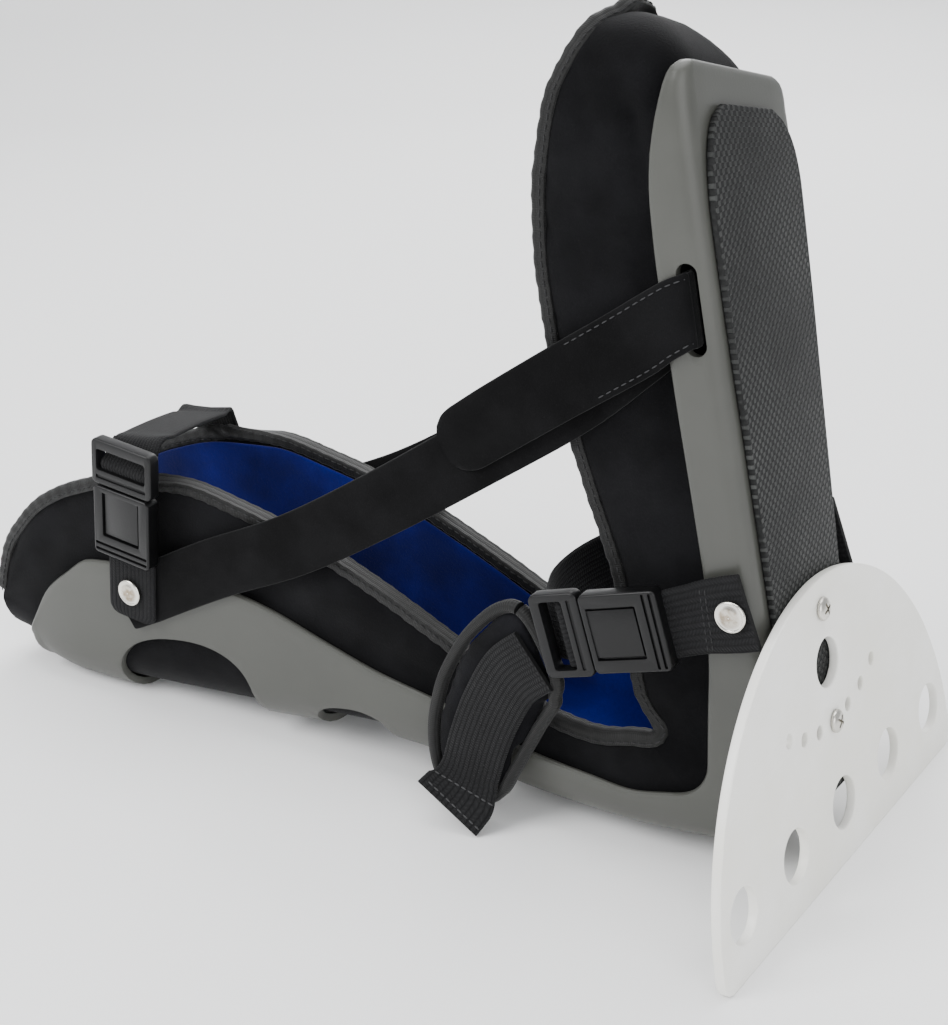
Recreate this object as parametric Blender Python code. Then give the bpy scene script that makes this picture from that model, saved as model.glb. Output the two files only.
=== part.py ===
"""Night splint for the foot and calf: a one-piece shell with a padded liner,
two buckled straps, two angle straps and a half-round plate that stops it rolling.

The splint is drawn in its sole frame (+X out of the sole, +Y to the far side,
+Z from heel to toes) and then leaned back until plate edge and calf end both
touch the surface it lies on.
"""
import math

import bmesh
import bpy
from mathutils import Matrix, Vector

# Shell sizes, metres
FOOT_LENGTH = 0.298        # heel centre line of the plate edge up to the toe end
FOOT_WALL = 0.0195         # depth of the foot walls
FOOT_HALF = 0.038          # half width over the ball of the foot
CALF_LENGTH = 0.384        # sole plane to the calf end
CALF_HALF = 0.040          # half width at the calf end
CALF_RIM = 0.116           # highest point of the calf walls above the plate edge
KNEE_RISE = 0.050          # underside of the calf end above the plate edge
SHELL_WALL = 0.0032
HEEL_RADIUS = 0.030
HEEL_DROP = 0.016          # underside of the heel above the plate edge
FOOT_CORNER = 0.007
CALF_CORNER = 0.021
SOLE_X = -0.007            # outer face of the sole
SLOT_LENGTH = 0.032
SLOT_WIDTH = 0.0074
SLOT_INSET = 0.0082        # slot centre in from the sole
SLOT_HEIGHT = 0.222

# Plate and tread
PLATE_HALF = 0.103
PLATE_HEIGHT = 0.112
PLATE_THICK = 0.0040
PLATE_TIP = 0.006
LIGHT_HOLE = 0.020
LIGHT_PITCH = 0.042
LIGHT_LEVEL = 0.023
CENTRE_HOLE = 0.0185
CENTRE_LEVEL = 0.080
ANGLE_HOLE = 0.0052
ANGLE_RADIUS = 0.078
ANGLE_LEVEL = 0.0565
ANGLE_STEP = 9.3           # degrees between the angle holes
SCREW_LEVEL = 0.101
SCREW_HEAD = 0.0088
SCREW_SHANK = 0.0042
# Fall of the toe end per metre across, where it starts as a share of FOOT_LENGTH,
# and the distance of its pivot from the middle on the near side
TOE_SLANT = 0.27
SLANT_START = 0.80
SLANT_PIVOT = 0.012
TREAD_THICK = 0.0024
TREAD_HALF = 0.0325
TREAD_TOP = 0.285
TREAD_FOOT = 0.026

# Soft parts
LINER_THICK = 0.0052
LINING_THICK = 0.0018
LINER_END = 0.400
LINER_RIM = 0.150
LINER_WING = 0.072
BINDING_RISE = 0.0042
STRAP_WIDTH = 0.026
STRAP_THICK = 0.0019
TAB_WIDTH = 0.029
PAD_THICK = 0.0048
PAD_WIDTH = 0.046

# Hardware
RIVET = 0.012
RIVET_RISE = 0.0022
BUCKLE_LENGTH = 0.053
BUCKLE_WIDTH = 0.033
BUCKLE_THICK = 0.0068
GAP = 0.0004


# Calf stations: distance from the sole plane, underside and wall rim,
# as shares of CALF_LENGTH, KNEE_RISE and CALF_RIM
CALF = (
    # reach, under, rim, half
    (0.135, 0.320, 0.325, 0.91),
    (0.175, 0.330, 0.315, 0.91),
    (0.230, 0.380, 0.355, 0.92),
    (0.305, 0.480, 0.425, 0.93),
    (0.390, 0.640, 0.555, 0.95),
    (0.470, 0.760, 0.650, 0.96),
    (0.535, 0.815, 0.750, 0.97),
    (0.600, 0.850, 0.855, 0.98),
    (0.655, 0.865, 0.915, 0.98),
    (0.755, 0.915, 0.975, 0.99),
    (0.860, 0.985, 1.000, 1.00),
    (0.906, 1.030, 0.935, 1.00),
    (0.942, 1.070, 0.865, 0.99),
    (0.974, 1.140, 0.755, 0.97),
    (0.996, 1.240, 0.675, 0.95),
)

# Lean at which the plate edge and the calf end touch the surface together
LEAN = min(math.atan2(row[1] * KNEE_RISE, row[0] * CALF_LENGTH)
           for row in CALF if row[0] > 0.5)

# Foot stations from the toe end down to the heel:
# level, wall and half width as shares of FOOT_LENGTH, FOOT_WALL and FOOT_HALF
FOOT = (
    # level, wall, half
    (1.000, 0.30, 0.80),
    (0.990, 0.36, 0.90),
    (0.972, 0.46, 0.965),
    (0.940, 0.66, 0.99),
    (0.900, 0.86, 1.00),
    (0.860, 0.96, 1.00),
    (0.792, 1.00, 1.00),
    (0.670, 1.00, 0.99),
    (0.500, 0.98, 0.96),
    (0.420, 0.98, 0.94),
    (0.315, 1.14, 0.92),
    (0.235, 1.34, 0.91),
)

# Rim of the liner over the calf: reach and height as shares of LINER_END and LINER_RIM,
# and the share of the wall's half width that the rim leans in to
LINER_CALF = (
    # reach, rim, lean
    (0.165, 0.380, 1.00),
    (0.200, 0.370, 1.00),
    (0.245, 0.395, 1.00),
    (0.305, 0.480, 0.99),
    (0.375, 0.610, 0.98),
    (0.450, 0.740, 0.97),
    (0.520, 0.845, 0.97),
    (0.600, 0.935, 0.97),
    (0.680, 1.000, 0.97),
    (0.760, 1.010, 0.98),
    (0.830, 0.985, 0.99),
    (0.895, 0.930, 1.00),
    (0.935, 0.860, 1.00),
    (0.957, 0.815, 1.00),
    (0.980, 0.740, 0.98),
    (1.000, 0.640, 0.96),
)

# Rim of the liner beside the foot, from the toe end down:
# level as a share of FOOT_LENGTH, set-in of its floor from the sole, wing and half width
# as shares of LINER_WING and FOOT_HALF
LINER_FOOT = (
    # level, set_in, wing, half
    (1.068, 0.34, 0.50, 0.26),
    (1.060, 0.26, 0.54, 0.46),
    (1.040, 0.16, 0.58, 0.66),
    (1.010, 0.07, 0.65, 0.78),
    (0.980, 0.02, 0.74, 0.82),
    (0.930, 0.00, 0.83, 0.825),
    (0.870, 0.00, 0.91, 0.825),
    (0.800, 0.00, 0.95, 0.825),
    (0.710, 0.00, 0.96, 0.815),
    (0.600, 0.00, 0.92, 0.82),
    (0.490, 0.00, 0.85, 0.80),
    (0.400, 0.00, 0.79, 0.79),
    (0.310, 0.00, 0.78, 0.79),
    (0.245, 0.00, 0.77, 0.79),
)


def lerp(a, b, t):
    return a + (b - a) * t


def table_at(rows, value, column):
    """Read one column of a table at a value of its first column."""
    ordered = sorted(rows, key=lambda row: row[0])
    if value <= ordered[0][0]:
        return ordered[0][column]
    for low, high in zip(ordered, ordered[1:]):
        if value <= high[0]:
            t = (value - low[0]) / (high[0] - low[0])
            return lerp(low[column], high[column], t)
    return ordered[-1][column]


def make_material(name, colour, roughness, metallic=0.0):
    material = bpy.data.materials.new(name)
    material.use_nodes = True
    shader = material.node_tree.nodes["Principled BSDF"]
    shader.inputs["Base Color"].default_value = (*colour, 1.0)
    shader.inputs["Roughness"].default_value = roughness
    shader.inputs["Metallic"].default_value = metallic
    material.diffuse_color = (*colour, 1.0)
    return material


def new_object(name, bm, look):
    """Turn a bmesh into a named object with its own material."""
    bmesh.ops.recalc_face_normals(bm, faces=bm.faces)
    if bm.calc_volume(signed=True) < 0:
        bmesh.ops.reverse_faces(bm, faces=bm.faces)
    mesh = bpy.data.meshes.new(name)
    bm.to_mesh(mesh)
    bm.free()
    obj = bpy.data.objects.new(name, mesh)
    bpy.context.scene.collection.objects.link(obj)
    if look:
        mesh.materials.append(make_material(name + "_material", *look))
    mesh.shade_smooth()
    mesh.set_sharp_from_angle(angle=math.radians(32))
    return obj


def loft(sections):
    """Closed solid through a row of closed sections with equal point counts."""
    bm = bmesh.new()
    rings = [[bm.verts.new(point) for point in section] for section in sections]
    for low, high in zip(rings, rings[1:]):
        for i in range(len(low)):
            j = (i + 1) % len(low)
            bm.faces.new((low[i], low[j], high[j], high[i]))
    bm.faces.new(rings[0])
    bm.faces.new(tuple(reversed(rings[-1])))
    return bm


def u_profile(half, rim_half, depth, corner, thickness, steps=4):
    """Outline of a U: outer side from near rim to far rim, then the inner side back."""
    corner = min(corner, 0.86 * depth, 0.9 * half)
    outer = []
    inner = []
    for k in range(steps + 1):
        angle = math.pi + 0.5 * math.pi * k / steps
        outer.append((-(half - corner) + corner * math.cos(angle),
                      corner + corner * math.sin(angle)))
        tight = corner - thickness
        inner.append((-(half - corner) + tight * math.cos(angle),
                      corner + tight * math.sin(angle)))
    outer.insert(0, (-rim_half, depth))
    inner.insert(0, (-(rim_half - thickness), depth))
    outer += [(-u, w) for u, w in reversed(outer)]
    inner += [(-u, w) for u, w in reversed(inner)]
    return outer + list(reversed(inner))


def place_profile(profile, foot, rim):
    """Stand a U profile on the point foot with its open side towards the point rim."""
    ax, az = foot
    bx, bz = rim
    size = math.hypot(bx - ax, bz - az)
    ex, ez = (bx - ax) / size, (bz - az) / size
    return [(ax + w * ex, u, az + w * ez) for u, w in profile]


def span(foot, rim):
    return math.hypot(rim[0] - foot[0], rim[1] - foot[1])


def heel_fans(set_in, rim_centre, rim_radius, angles):
    """Pairs of underside and rim points around the heel."""
    cx = SOLE_X - HEEL_RADIUS
    cz = HEEL_DROP + HEEL_RADIUS
    reach = HEEL_RADIUS - set_in
    pairs = []
    for degrees in angles:
        c = math.cos(math.radians(degrees))
        s = math.sin(math.radians(degrees))
        pairs.append(((cx + reach * c, cz + reach * s),
                      (rim_centre[0] + rim_radius * c, rim_centre[1] + rim_radius * s)))
    return pairs


def calf_under(reach):
    """Underside of the calf, carried on in a straight line past the shell's end."""
    past = max(0.0, reach - CALF[-1][0] * CALF_LENGTH)
    return KNEE_RISE * table_at(CALF, reach / CALF_LENGTH, 1) + 0.35 * past


def calf_half(reach):
    return CALF_HALF * table_at(CALF, reach / CALF_LENGTH, 3)


def prism(name, outline, low, high, axis):
    """Extrude a closed outline between two values along X or Y."""
    if axis == "Y":
        bottom = [(x, low, z) for x, z in outline]
        top = [(x, high, z) for x, z in outline]
    else:
        bottom = [(low, y, z) for y, z in outline]
        top = [(high, y, z) for y, z in outline]
    return new_object(name, loft([bottom, top]), None)


def rod(name, radius, low, high, centre, sides, axis="X"):
    outline = []
    for k in range(sides):
        angle = 2 * math.pi * (k + 0.5) / sides
        outline.append((centre[0] + radius * math.cos(angle),
                        centre[1] + radius * math.sin(angle)))
    return prism(name, outline, low, high, axis)


def cut(target, cutters):
    """Take cutters out of the target and drop them."""
    for cutter in cutters:
        cutter.hide_render = True
        cutter.display_type = "WIRE"
        modifier = target.modifiers.new("cut", "BOOLEAN")
        modifier.operation = "DIFFERENCE"
        modifier.solver = "EXACT"
        modifier.object = cutter
    graph = bpy.context.evaluated_depsgraph_get()
    mesh = bpy.data.meshes.new_from_object(target.evaluated_get(graph))
    target.modifiers.clear()
    target.data = mesh
    for cutter in cutters:
        bpy.data.objects.remove(cutter, do_unlink=True)
    mesh.shade_smooth()
    mesh.set_sharp_from_angle(angle=math.radians(32))


def ribbon(name, rows, thickness, look, square=True):
    """Flat band along rows of centre, width direction and width.

    Its ends stand square to its run unless square is off.
    """
    sections = []
    count = len(rows)
    for i, (centre, across, width) in enumerate(rows):
        before = Vector(rows[max(i - 1, 0)][0])
        after = Vector(rows[min(i + 1, count - 1)][0])
        along = (after - before).normalized()
        side = Vector(across)
        if square:
            side = side - side.dot(along) * along
        side.normalize()
        out = along.cross(side).normalized()
        centre = Vector(centre)
        half, deep = 0.5 * width, 0.5 * thickness
        sections.append([centre + side * half + out * deep, centre - side * half + out * deep,
                         centre - side * half - out * deep, centre + side * half - out * deep])
    return new_object(name, loft(sections), look)


def smooth_rows(rows, steps):
    """Catmull-Rom through rows of (point, across, width)."""
    out = []
    last = len(rows) - 1
    for i in range(last):
        p = [rows[max(i - 1, 0)], rows[i], rows[i + 1], rows[min(i + 2, last)]]
        for k in range(steps):
            t = k / steps
            a = [Vector(row[0]) for row in p]
            point = 0.5 * ((2 * a[1]) + (a[2] - a[0]) * t
                           + (2 * a[0] - 5 * a[1] + 4 * a[2] - a[3]) * t * t
                           + (3 * a[1] - a[0] - 3 * a[2] + a[3]) * t ** 3)
            across = Vector(rows[i][1]).lerp(Vector(rows[i + 1][1]), t)
            out.append((point, across, lerp(rows[i][2], rows[i + 1][2], t)))
    out.append((Vector(rows[-1][0]), Vector(rows[-1][1]), rows[-1][2]))
    return out


def build_shell():
    sections = []
    for level, wall, half in FOOT:
        foot = (SOLE_X, level * FOOT_LENGTH)
        rim = (SOLE_X - wall * FOOT_WALL, level * FOOT_LENGTH)
        wide = half * FOOT_HALF
        profile = u_profile(wide, wide + 0.0005, span(foot, rim), FOOT_CORNER, SHELL_WALL)
        sections.append(place_profile(profile, foot, rim))
    fans = heel_fans(0.0, (SOLE_X - 0.043, HEEL_DROP + 0.036), 0.014,
                     (0, -15, -30, -45, -60, -75, -90))
    for k, (foot, rim) in enumerate(fans):
        t = k / (len(fans) - 1)
        wide = lerp(FOOT[-1][2] * FOOT_HALF, CALF[0][3] * CALF_HALF, t)
        corner = lerp(FOOT_CORNER, CALF_CORNER * 0.7, t)
        profile = u_profile(wide, wide + 0.0005, span(foot, rim), corner, SHELL_WALL)
        sections.append(place_profile(profile, foot, rim))
    for reach, under, height, half in CALF:
        foot = (-reach * CALF_LENGTH, under * KNEE_RISE)
        rim = (foot[0], height * CALF_RIM)
        wide = half * CALF_HALF
        corner = CALF_CORNER * min(1.0, 0.7 + 1.2 * (reach - 0.135))
        profile = u_profile(wide, wide + 0.0005, span(foot, rim), corner, SHELL_WALL)
        sections.append(place_profile(profile, foot, rim))
    shell = new_object("shell", loft(sections), ((0.235, 0.225, 0.205), 0.42))

    cutters = []
    # Two windows through the underside of the calf, rising into both walls
    for centre, half, top in ((0.752, 0.100, 0.700), (0.524, 0.050, 0.492)):
        middle = -centre * CALF_LENGTH
        reach = half * CALF_LENGTH
        crown = top * CALF_RIM
        shoulder = crown - 0.022 if half > 0.08 else crown - 0.010
        outline = [(middle - reach, -0.01), (middle + reach, -0.01), (middle + reach, shoulder)]
        for k in range(1, 12):
            angle = math.pi * k / 12
            outline.append((middle + reach * math.cos(angle),
                            shoulder + (crown - shoulder) * math.sin(angle)))
        outline.append((middle - reach, shoulder))
        cutters.append(prism("window_cutter", outline, -0.07, 0.07, "Y"))
    # One slot in each foot wall for the angle strap
    for side in (-1, 1):
        x_mid = SOLE_X - SLOT_INSET
        ends = sorted((side * 0.050, side * (FOOT_HALF - 0.0065)))
        outline = []
        for k in range(12):
            angle = 2 * math.pi * k / 12 + math.pi / 12
            lift = 0.5 * SLOT_LENGTH - 0.5 * SLOT_WIDTH
            z = SLOT_HEIGHT + 0.5 * SLOT_WIDTH * math.sin(angle)
            z += lift if math.sin(angle) > 0 else -lift
            outline.append((x_mid + 0.5 * SLOT_WIDTH * math.cos(angle), z))
        cutters.append(prism("slot_cutter", outline, ends[0], ends[1], "Y"))
    # Two clear holes for the plate screws
    for level in (SCREW_LEVEL, ANGLE_LEVEL):
        cutters.append(rod("screw_cutter", 0.5 * SCREW_SHANK + GAP, -0.03, 0.01, (0, level), 12))
    cut(shell, cutters)
    return shell


def build_tread():
    outline = []
    rows = ((TREAD_FOOT, 0.60), (0.034, 0.76), (0.110, 0.85), (0.170, 0.92), (0.215, 0.98),
            (0.250, 1.0), (0.268, 0.93), (0.278, 0.78), (TREAD_TOP, 0.42))
    for level, share in rows:
        outline.append((share * TREAD_HALF, level))
    outline += [(-y, z) for y, z in reversed(outline)]
    tread = prism("tread_pad", outline, SOLE_X + GAP, SOLE_X + GAP + TREAD_THICK, "X")
    tread.data.materials.append(make_material("tread_pad_material", (0.045, 0.043, 0.042), 0.8))
    cut(tread, [rod("screw_cutter", 0.5 * SCREW_SHANK + GAP, -0.03, 0.01, (0, level), 12)
                for level in (SCREW_LEVEL, ANGLE_LEVEL)])
    return tread


def build_plate():
    outline = []
    for k in range(5):
        angle = math.radians(-90 + 90 * k / 4)
        outline.append((PLATE_HALF - PLATE_TIP + PLATE_TIP * math.cos(angle),
                        PLATE_TIP + PLATE_TIP * math.sin(angle)))
    for k in range(1, 25):
        angle = 0.5 * math.pi * k / 24
        outline.append((PLATE_HALF * math.cos(angle) ** (2 / 1.93),
                        PLATE_TIP + (PLATE_HEIGHT - PLATE_TIP) * math.sin(angle) ** (2 / 1.93)))
    outline = outline[:-1] + [(0.0, PLATE_HEIGHT)] + [(-y, z) for y, z in reversed(outline[:-1])]
    plate = prism("rotation_plate", outline, -PLATE_THICK, 0.0, "X")
    look = make_material("rotation_plate_material", (0.86, 0.85, 0.80), 0.38)
    plate.data.materials.append(look)
    # The lower edge is cut to lie flat on the surface once the splint leans back
    for vertex in plate.data.vertices:
        vertex.co.z = max(vertex.co.z, -vertex.co.x * math.tan(LEAN))
    cutters = []
    for k in range(-2, 3):
        cutters.append(rod("hole_cutter", 0.5 * LIGHT_HOLE, -0.02, 0.01,
                           (k * LIGHT_PITCH, LIGHT_LEVEL), 24))
    cutters.append(rod("hole_cutter", 0.5 * CENTRE_HOLE, -0.02, 0.01, (0, CENTRE_LEVEL), 24))
    for k in range(-3, 4):
        angle = math.radians(k * ANGLE_STEP)
        centre = (ANGLE_RADIUS * math.sin(angle),
                  ANGLE_LEVEL + ANGLE_RADIUS * (1 - math.cos(angle)))
        cutters.append(rod("hole_cutter", 0.5 * ANGLE_HOLE, -0.02, 0.01, centre, 12))
    cutters.append(rod("hole_cutter", 0.5 * ANGLE_HOLE, -0.02, 0.01, (0, SCREW_LEVEL), 12))
    cut(plate, cutters)
    return plate


def build_screw(name, level):
    """Domed screw with a cross recess, through the plate into the sole."""
    radius = 0.5 * SCREW_HEAD
    bm = bmesh.new()
    rings = []
    rows = ((SOLE_X - SHELL_WALL + 0.0004, 0.5 * SCREW_SHANK), (GAP, 0.5 * SCREW_SHANK),
            (GAP, radius), (GAP + 0.0009, radius), (GAP + 0.0019, 0.72 * radius),
            (GAP + 0.0023, 0.36 * radius))
    for x, r in rows:
        rings.append([bm.verts.new((x, r * math.cos(2 * math.pi * (k + 0.5) / 16),
                                    level + r * math.sin(2 * math.pi * (k + 0.5) / 16)))
                      for k in range(16)])
    for low, high in zip(rings, rings[1:]):
        for k in range(16):
            j = (k + 1) % 16
            bm.faces.new((low[k], low[j], high[j], high[k]))
    bm.faces.new(tuple(reversed(rings[0])))
    bm.faces.new(rings[-1])
    return new_object(name, bm, ((0.62, 0.60, 0.56), 0.28, 1.0))


def liner_sections(extra, thickness, trim, end_trim):
    """U sections of the liner; extra moves the outer side in, trim lowers the rim."""
    sections = []
    rims = []
    base = SOLE_X - SHELL_WALL - GAP
    for level, set_in, wing, half in LINER_FOOT:
        z = level * FOOT_LENGTH
        if extra and level > 1.02:
            continue
        x = base - set_in * LINER_WING - extra
        foot = (x, z)
        rim = (SOLE_X - wing * LINER_WING + trim, z)
        wide = half * FOOT_HALF - extra
        corner = 0.016 - extra
        profile = u_profile(wide, wide + 0.0002, span(foot, rim), corner, thickness, 4)
        sections.append(place_profile(profile, foot, rim))
        rims.append((rim, wide))
    inner_set = SHELL_WALL + GAP + extra
    centre = (-0.0600 + 0.7 * trim, 0.0605 - 0.7 * trim)
    fans = heel_fans(inner_set, centre, 0.0045, (0, -18, -36, -54, -72, -90))
    wide_start = LINER_FOOT[-1][3] * FOOT_HALF - extra
    wide_end = calf_half(0.135 * CALF_LENGTH) - SHELL_WALL - GAP - extra
    for k, (foot, rim) in enumerate(fans):
        t = k / (len(fans) - 1)
        wide = lerp(wide_start, wide_end, t)
        profile = u_profile(wide, wide + 0.0002, span(foot, rim), 0.0165 - extra, thickness, 4)
        sections.append(place_profile(profile, foot, rim))
        rims.append((rim, wide))
    for reach, height, lean in LINER_CALF:
        x = -min(reach * LINER_END, LINER_END - end_trim)
        under = calf_under(-x) + SHELL_WALL + 0.0008 + extra
        foot = (x, under)
        rim = (x, height * LINER_RIM - trim)
        wide = calf_half(-x) - SHELL_WALL - GAP - extra
        profile = u_profile(wide, wide * lean, span(foot, rim), 0.0185 - extra, thickness, 4)
        sections.append(place_profile(profile, foot, rim))
        rims.append((rim, wide * lean))
    return sections, rims


def build_liner():
    sections, rims = liner_sections(0.0, LINER_THICK, 0.0, 0.0)
    liner = new_object("liner", loft(sections), ((0.022, 0.022, 0.024), 0.9))
    extra = LINER_THICK + GAP + 0.0004
    sections, _ = liner_sections(extra, LINING_THICK, 0.005, 0.004)
    lining = new_object("lining", loft(sections), ((0.012, 0.055, 0.36), 0.95))
    return liner, lining, rims


def build_binding(rims):
    """Bound edge: one band over the rim, from the near calf end round the toes."""
    points = []
    for side in (-1, 1):
        run = []
        for (x, z), wide in rims:
            run.append(Vector((x, side * (wide - 0.5 * LINER_THICK), z)))
        # The band spans the tight inner corner at the heel with one point
        corner = len(LINER_FOOT)
        run[corner:corner + 6] = [run[corner + 3] + Vector((-0.0016, 0, 0.0016))]
        run[0] += Vector((0.0035, 0, 0.0024))
        run[1] += Vector((-0.0012, 0, 0.0012))
        if side < 0:
            points += list(reversed(run))
        else:
            points += run
    count = len(points)
    middle = count // 2
    sections = []
    for i, point in enumerate(points):
        along = (points[min(i + 1, count - 1)] - points[max(i - 1, 0)]).normalized()
        station = (middle - 1 - i) if i < middle else (i - middle)
        if station < len(LINER_FOOT):
            out = Vector((-1, 0, 0))
        elif station == len(LINER_FOOT):
            out = Vector((-0.7, 0, 0.7))
        else:
            out = Vector((0, 0, 1))
        if station == 0:
            out = Vector((0, 0, 1))
        elif station < 4:
            out = Vector((-0.8, 0, 0.6))
        out = (out - out.dot(along) * along).normalized()
        side = along.cross(out).normalized()
        low = point + out * (GAP + (0.0012 if station < 4 else 0.0002))
        half = 0.5 * LINER_THICK + 0.0009
        rise = BINDING_RISE
        sections.append([low + side * half, low + side * half + out * rise * 0.6,
                         low + side * half * 0.55 + out * rise,
                         low - side * half * 0.55 + out * rise,
                         low - side * half + out * rise * 0.6, low - side * half])
    return new_object("liner_binding", loft(sections), ((0.10, 0.10, 0.10), 0.6))


def box_solid(name, centre, size, look, bevel=0.0):
    """Box along the axes with its edges bevelled."""
    bm = bmesh.new()
    bmesh.ops.create_cube(bm, size=1.0)
    for vertex in bm.verts:
        vertex.co = Vector([vertex.co[k] * size[k] + centre[k] for k in range(3)])
    if bevel:
        bmesh.ops.bevel(bm, geom=list(bm.edges), offset=bevel, segments=2, profile=0.5,
                        affect="EDGES")
    return new_object(name, bm, look)


def build_buckle(prefix, centre, along, side):
    """Side-release buckle: a body with a sunk panel and a clip with a webbing slot.

    It is drawn along +X, face up, then stood on its place:
    along points from body to clip and side is the outward normal.
    """
    look = ((0.020, 0.020, 0.022), 0.36)
    body_long = 0.60 * BUCKLE_LENGTH
    clip_long = 0.39 * BUCKLE_LENGTH
    body_mid = -0.5 * BUCKLE_LENGTH + 0.5 * body_long
    clip_mid = 0.5 * BUCKLE_LENGTH - 0.5 * clip_long
    body = box_solid(prefix + "_buckle_body", (body_mid, 0, 0),
                     (body_long, 0.93 * BUCKLE_WIDTH, BUCKLE_THICK), look, 0.0012)
    panel = box_solid("panel_cutter", (body_mid + 0.0015, 0, 0.5 * BUCKLE_THICK),
                      (0.62 * body_long, 0.58 * BUCKLE_WIDTH, 0.0016), None)
    mouth = box_solid("mouth_cutter", (body_mid - 0.5 * body_long + 0.0040, 0, 0),
                      (0.0034, STRAP_WIDTH + 0.0006, 3 * BUCKLE_THICK), None)
    cut(body, [panel, mouth])
    clip = box_solid(prefix + "_buckle_clip", (clip_mid, 0, 0),
                     (clip_long, BUCKLE_WIDTH, 0.86 * BUCKLE_THICK), look, 0.0012)
    slot = box_solid("slot_cutter", (clip_mid + 0.0012, 0, 0),
                     (0.0096, STRAP_WIDTH + 0.0010, 3 * BUCKLE_THICK), None)
    cut(clip, [slot])
    along = Vector(along).normalized()
    out = Vector(side)
    out = (out - out.dot(along) * along).normalized()
    frame = Matrix((along, out.cross(along), out)).transposed().to_4x4()
    frame.translation = Vector(centre)
    for obj in (body, clip):
        obj.data.transform(frame)
    return body, clip


def build_rivet(name, centre, side):
    """Domed rivet cap whose flat back faces the strap."""
    bm = bmesh.new()
    rings = []
    for rise, share in ((0.0, 0.96), (0.28, 1.0), (0.62, 0.86), (0.88, 0.58), (1.0, 0.24)):
        ring = []
        for k in range(18):
            angle = 2 * math.pi * k / 18
            ring.append(bm.verts.new((centre[0] + 0.5 * RIVET * share * math.cos(angle),
                                      centre[1] + side * rise * RIVET_RISE,
                                      centre[2] + 0.5 * RIVET * share * math.sin(angle))))
        rings.append(ring)
    for low, high in zip(rings, rings[1:]):
        for k in range(18):
            j = (k + 1) % 18
            bm.faces.new((low[k], low[j], high[j], high[k]))
    bm.faces.new(rings[0])
    bm.faces.new(rings[-1])
    return new_object(name, bm, ((0.66, 0.60, 0.50), 0.26, 1.0))


def build_angle_strap(name, side):
    """Strap from the calf rivet, out through the wall slot and back over itself."""
    wall = FOOT_HALF - SHELL_WALL
    inside = wall - 0.5 * STRAP_THICK - 0.0010
    outside = FOOT_HALF + 0.5 * STRAP_THICK + 0.0010
    calf = CALF_HALF + 0.5 * STRAP_THICK + 0.0010
    turn_x = SOLE_X - SLOT_INSET - 0.0008
    level = SLOT_HEIGHT
    # Distance from the plate, level, sideways place, tilt in degrees, share of the width
    rows = (
        (-0.3120, 0.0960, calf, 24, 0.86),
        (-0.2980, 0.1020, calf, 24, 1.0),
        (-0.2540, 0.1170, calf, 20, 1.0),
        (-0.2080, 0.1300, calf - 0.0008, 20, 1.0),
        (-0.1600, 0.1490, calf - 0.0024, 23, 1.0),
        (-0.1150, 0.1690, calf - 0.0040, 25, 1.0),
        (-0.0700, 0.1900, inside + 0.0016, 25, 1.0),
        (-0.0400, 0.2080, inside, 20, 1.0),
        (-0.0240, 0.2180, inside, 8, 1.0),
        (turn_x + 0.0002, level, inside + 0.0008, 0, 1.0),
        (turn_x + 0.0012, level, 0.5 * (inside + outside), 0, 1.0),
        (turn_x + 0.0002, level, outside - 0.0008, 0, 1.0),
        (-0.0240, 0.2190, outside, 8, 1.0),
        (-0.0400, 0.2110, outside, 20, 1.0),
        (-0.0700, 0.1975, outside, 25, 1.0),
        (-0.0980, 0.1845, outside, 25, 1.0),
        (-0.1140, 0.1768, outside, 25, 0.96),
        (-0.1215, 0.1733, outside, 25, 0.80),
        (-0.1250, 0.1716, outside, 25, 0.48),
    )
    placed = []
    for x, z, y, tilt, share in rows:
        turn = math.radians(tilt)
        placed.append(((x, side * y, z), (-math.sin(turn), 0.0, math.cos(turn)),
                       share * STRAP_WIDTH))
    return ribbon(name, placed, STRAP_THICK, ((0.024, 0.024, 0.026), 0.85), square=False)


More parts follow.
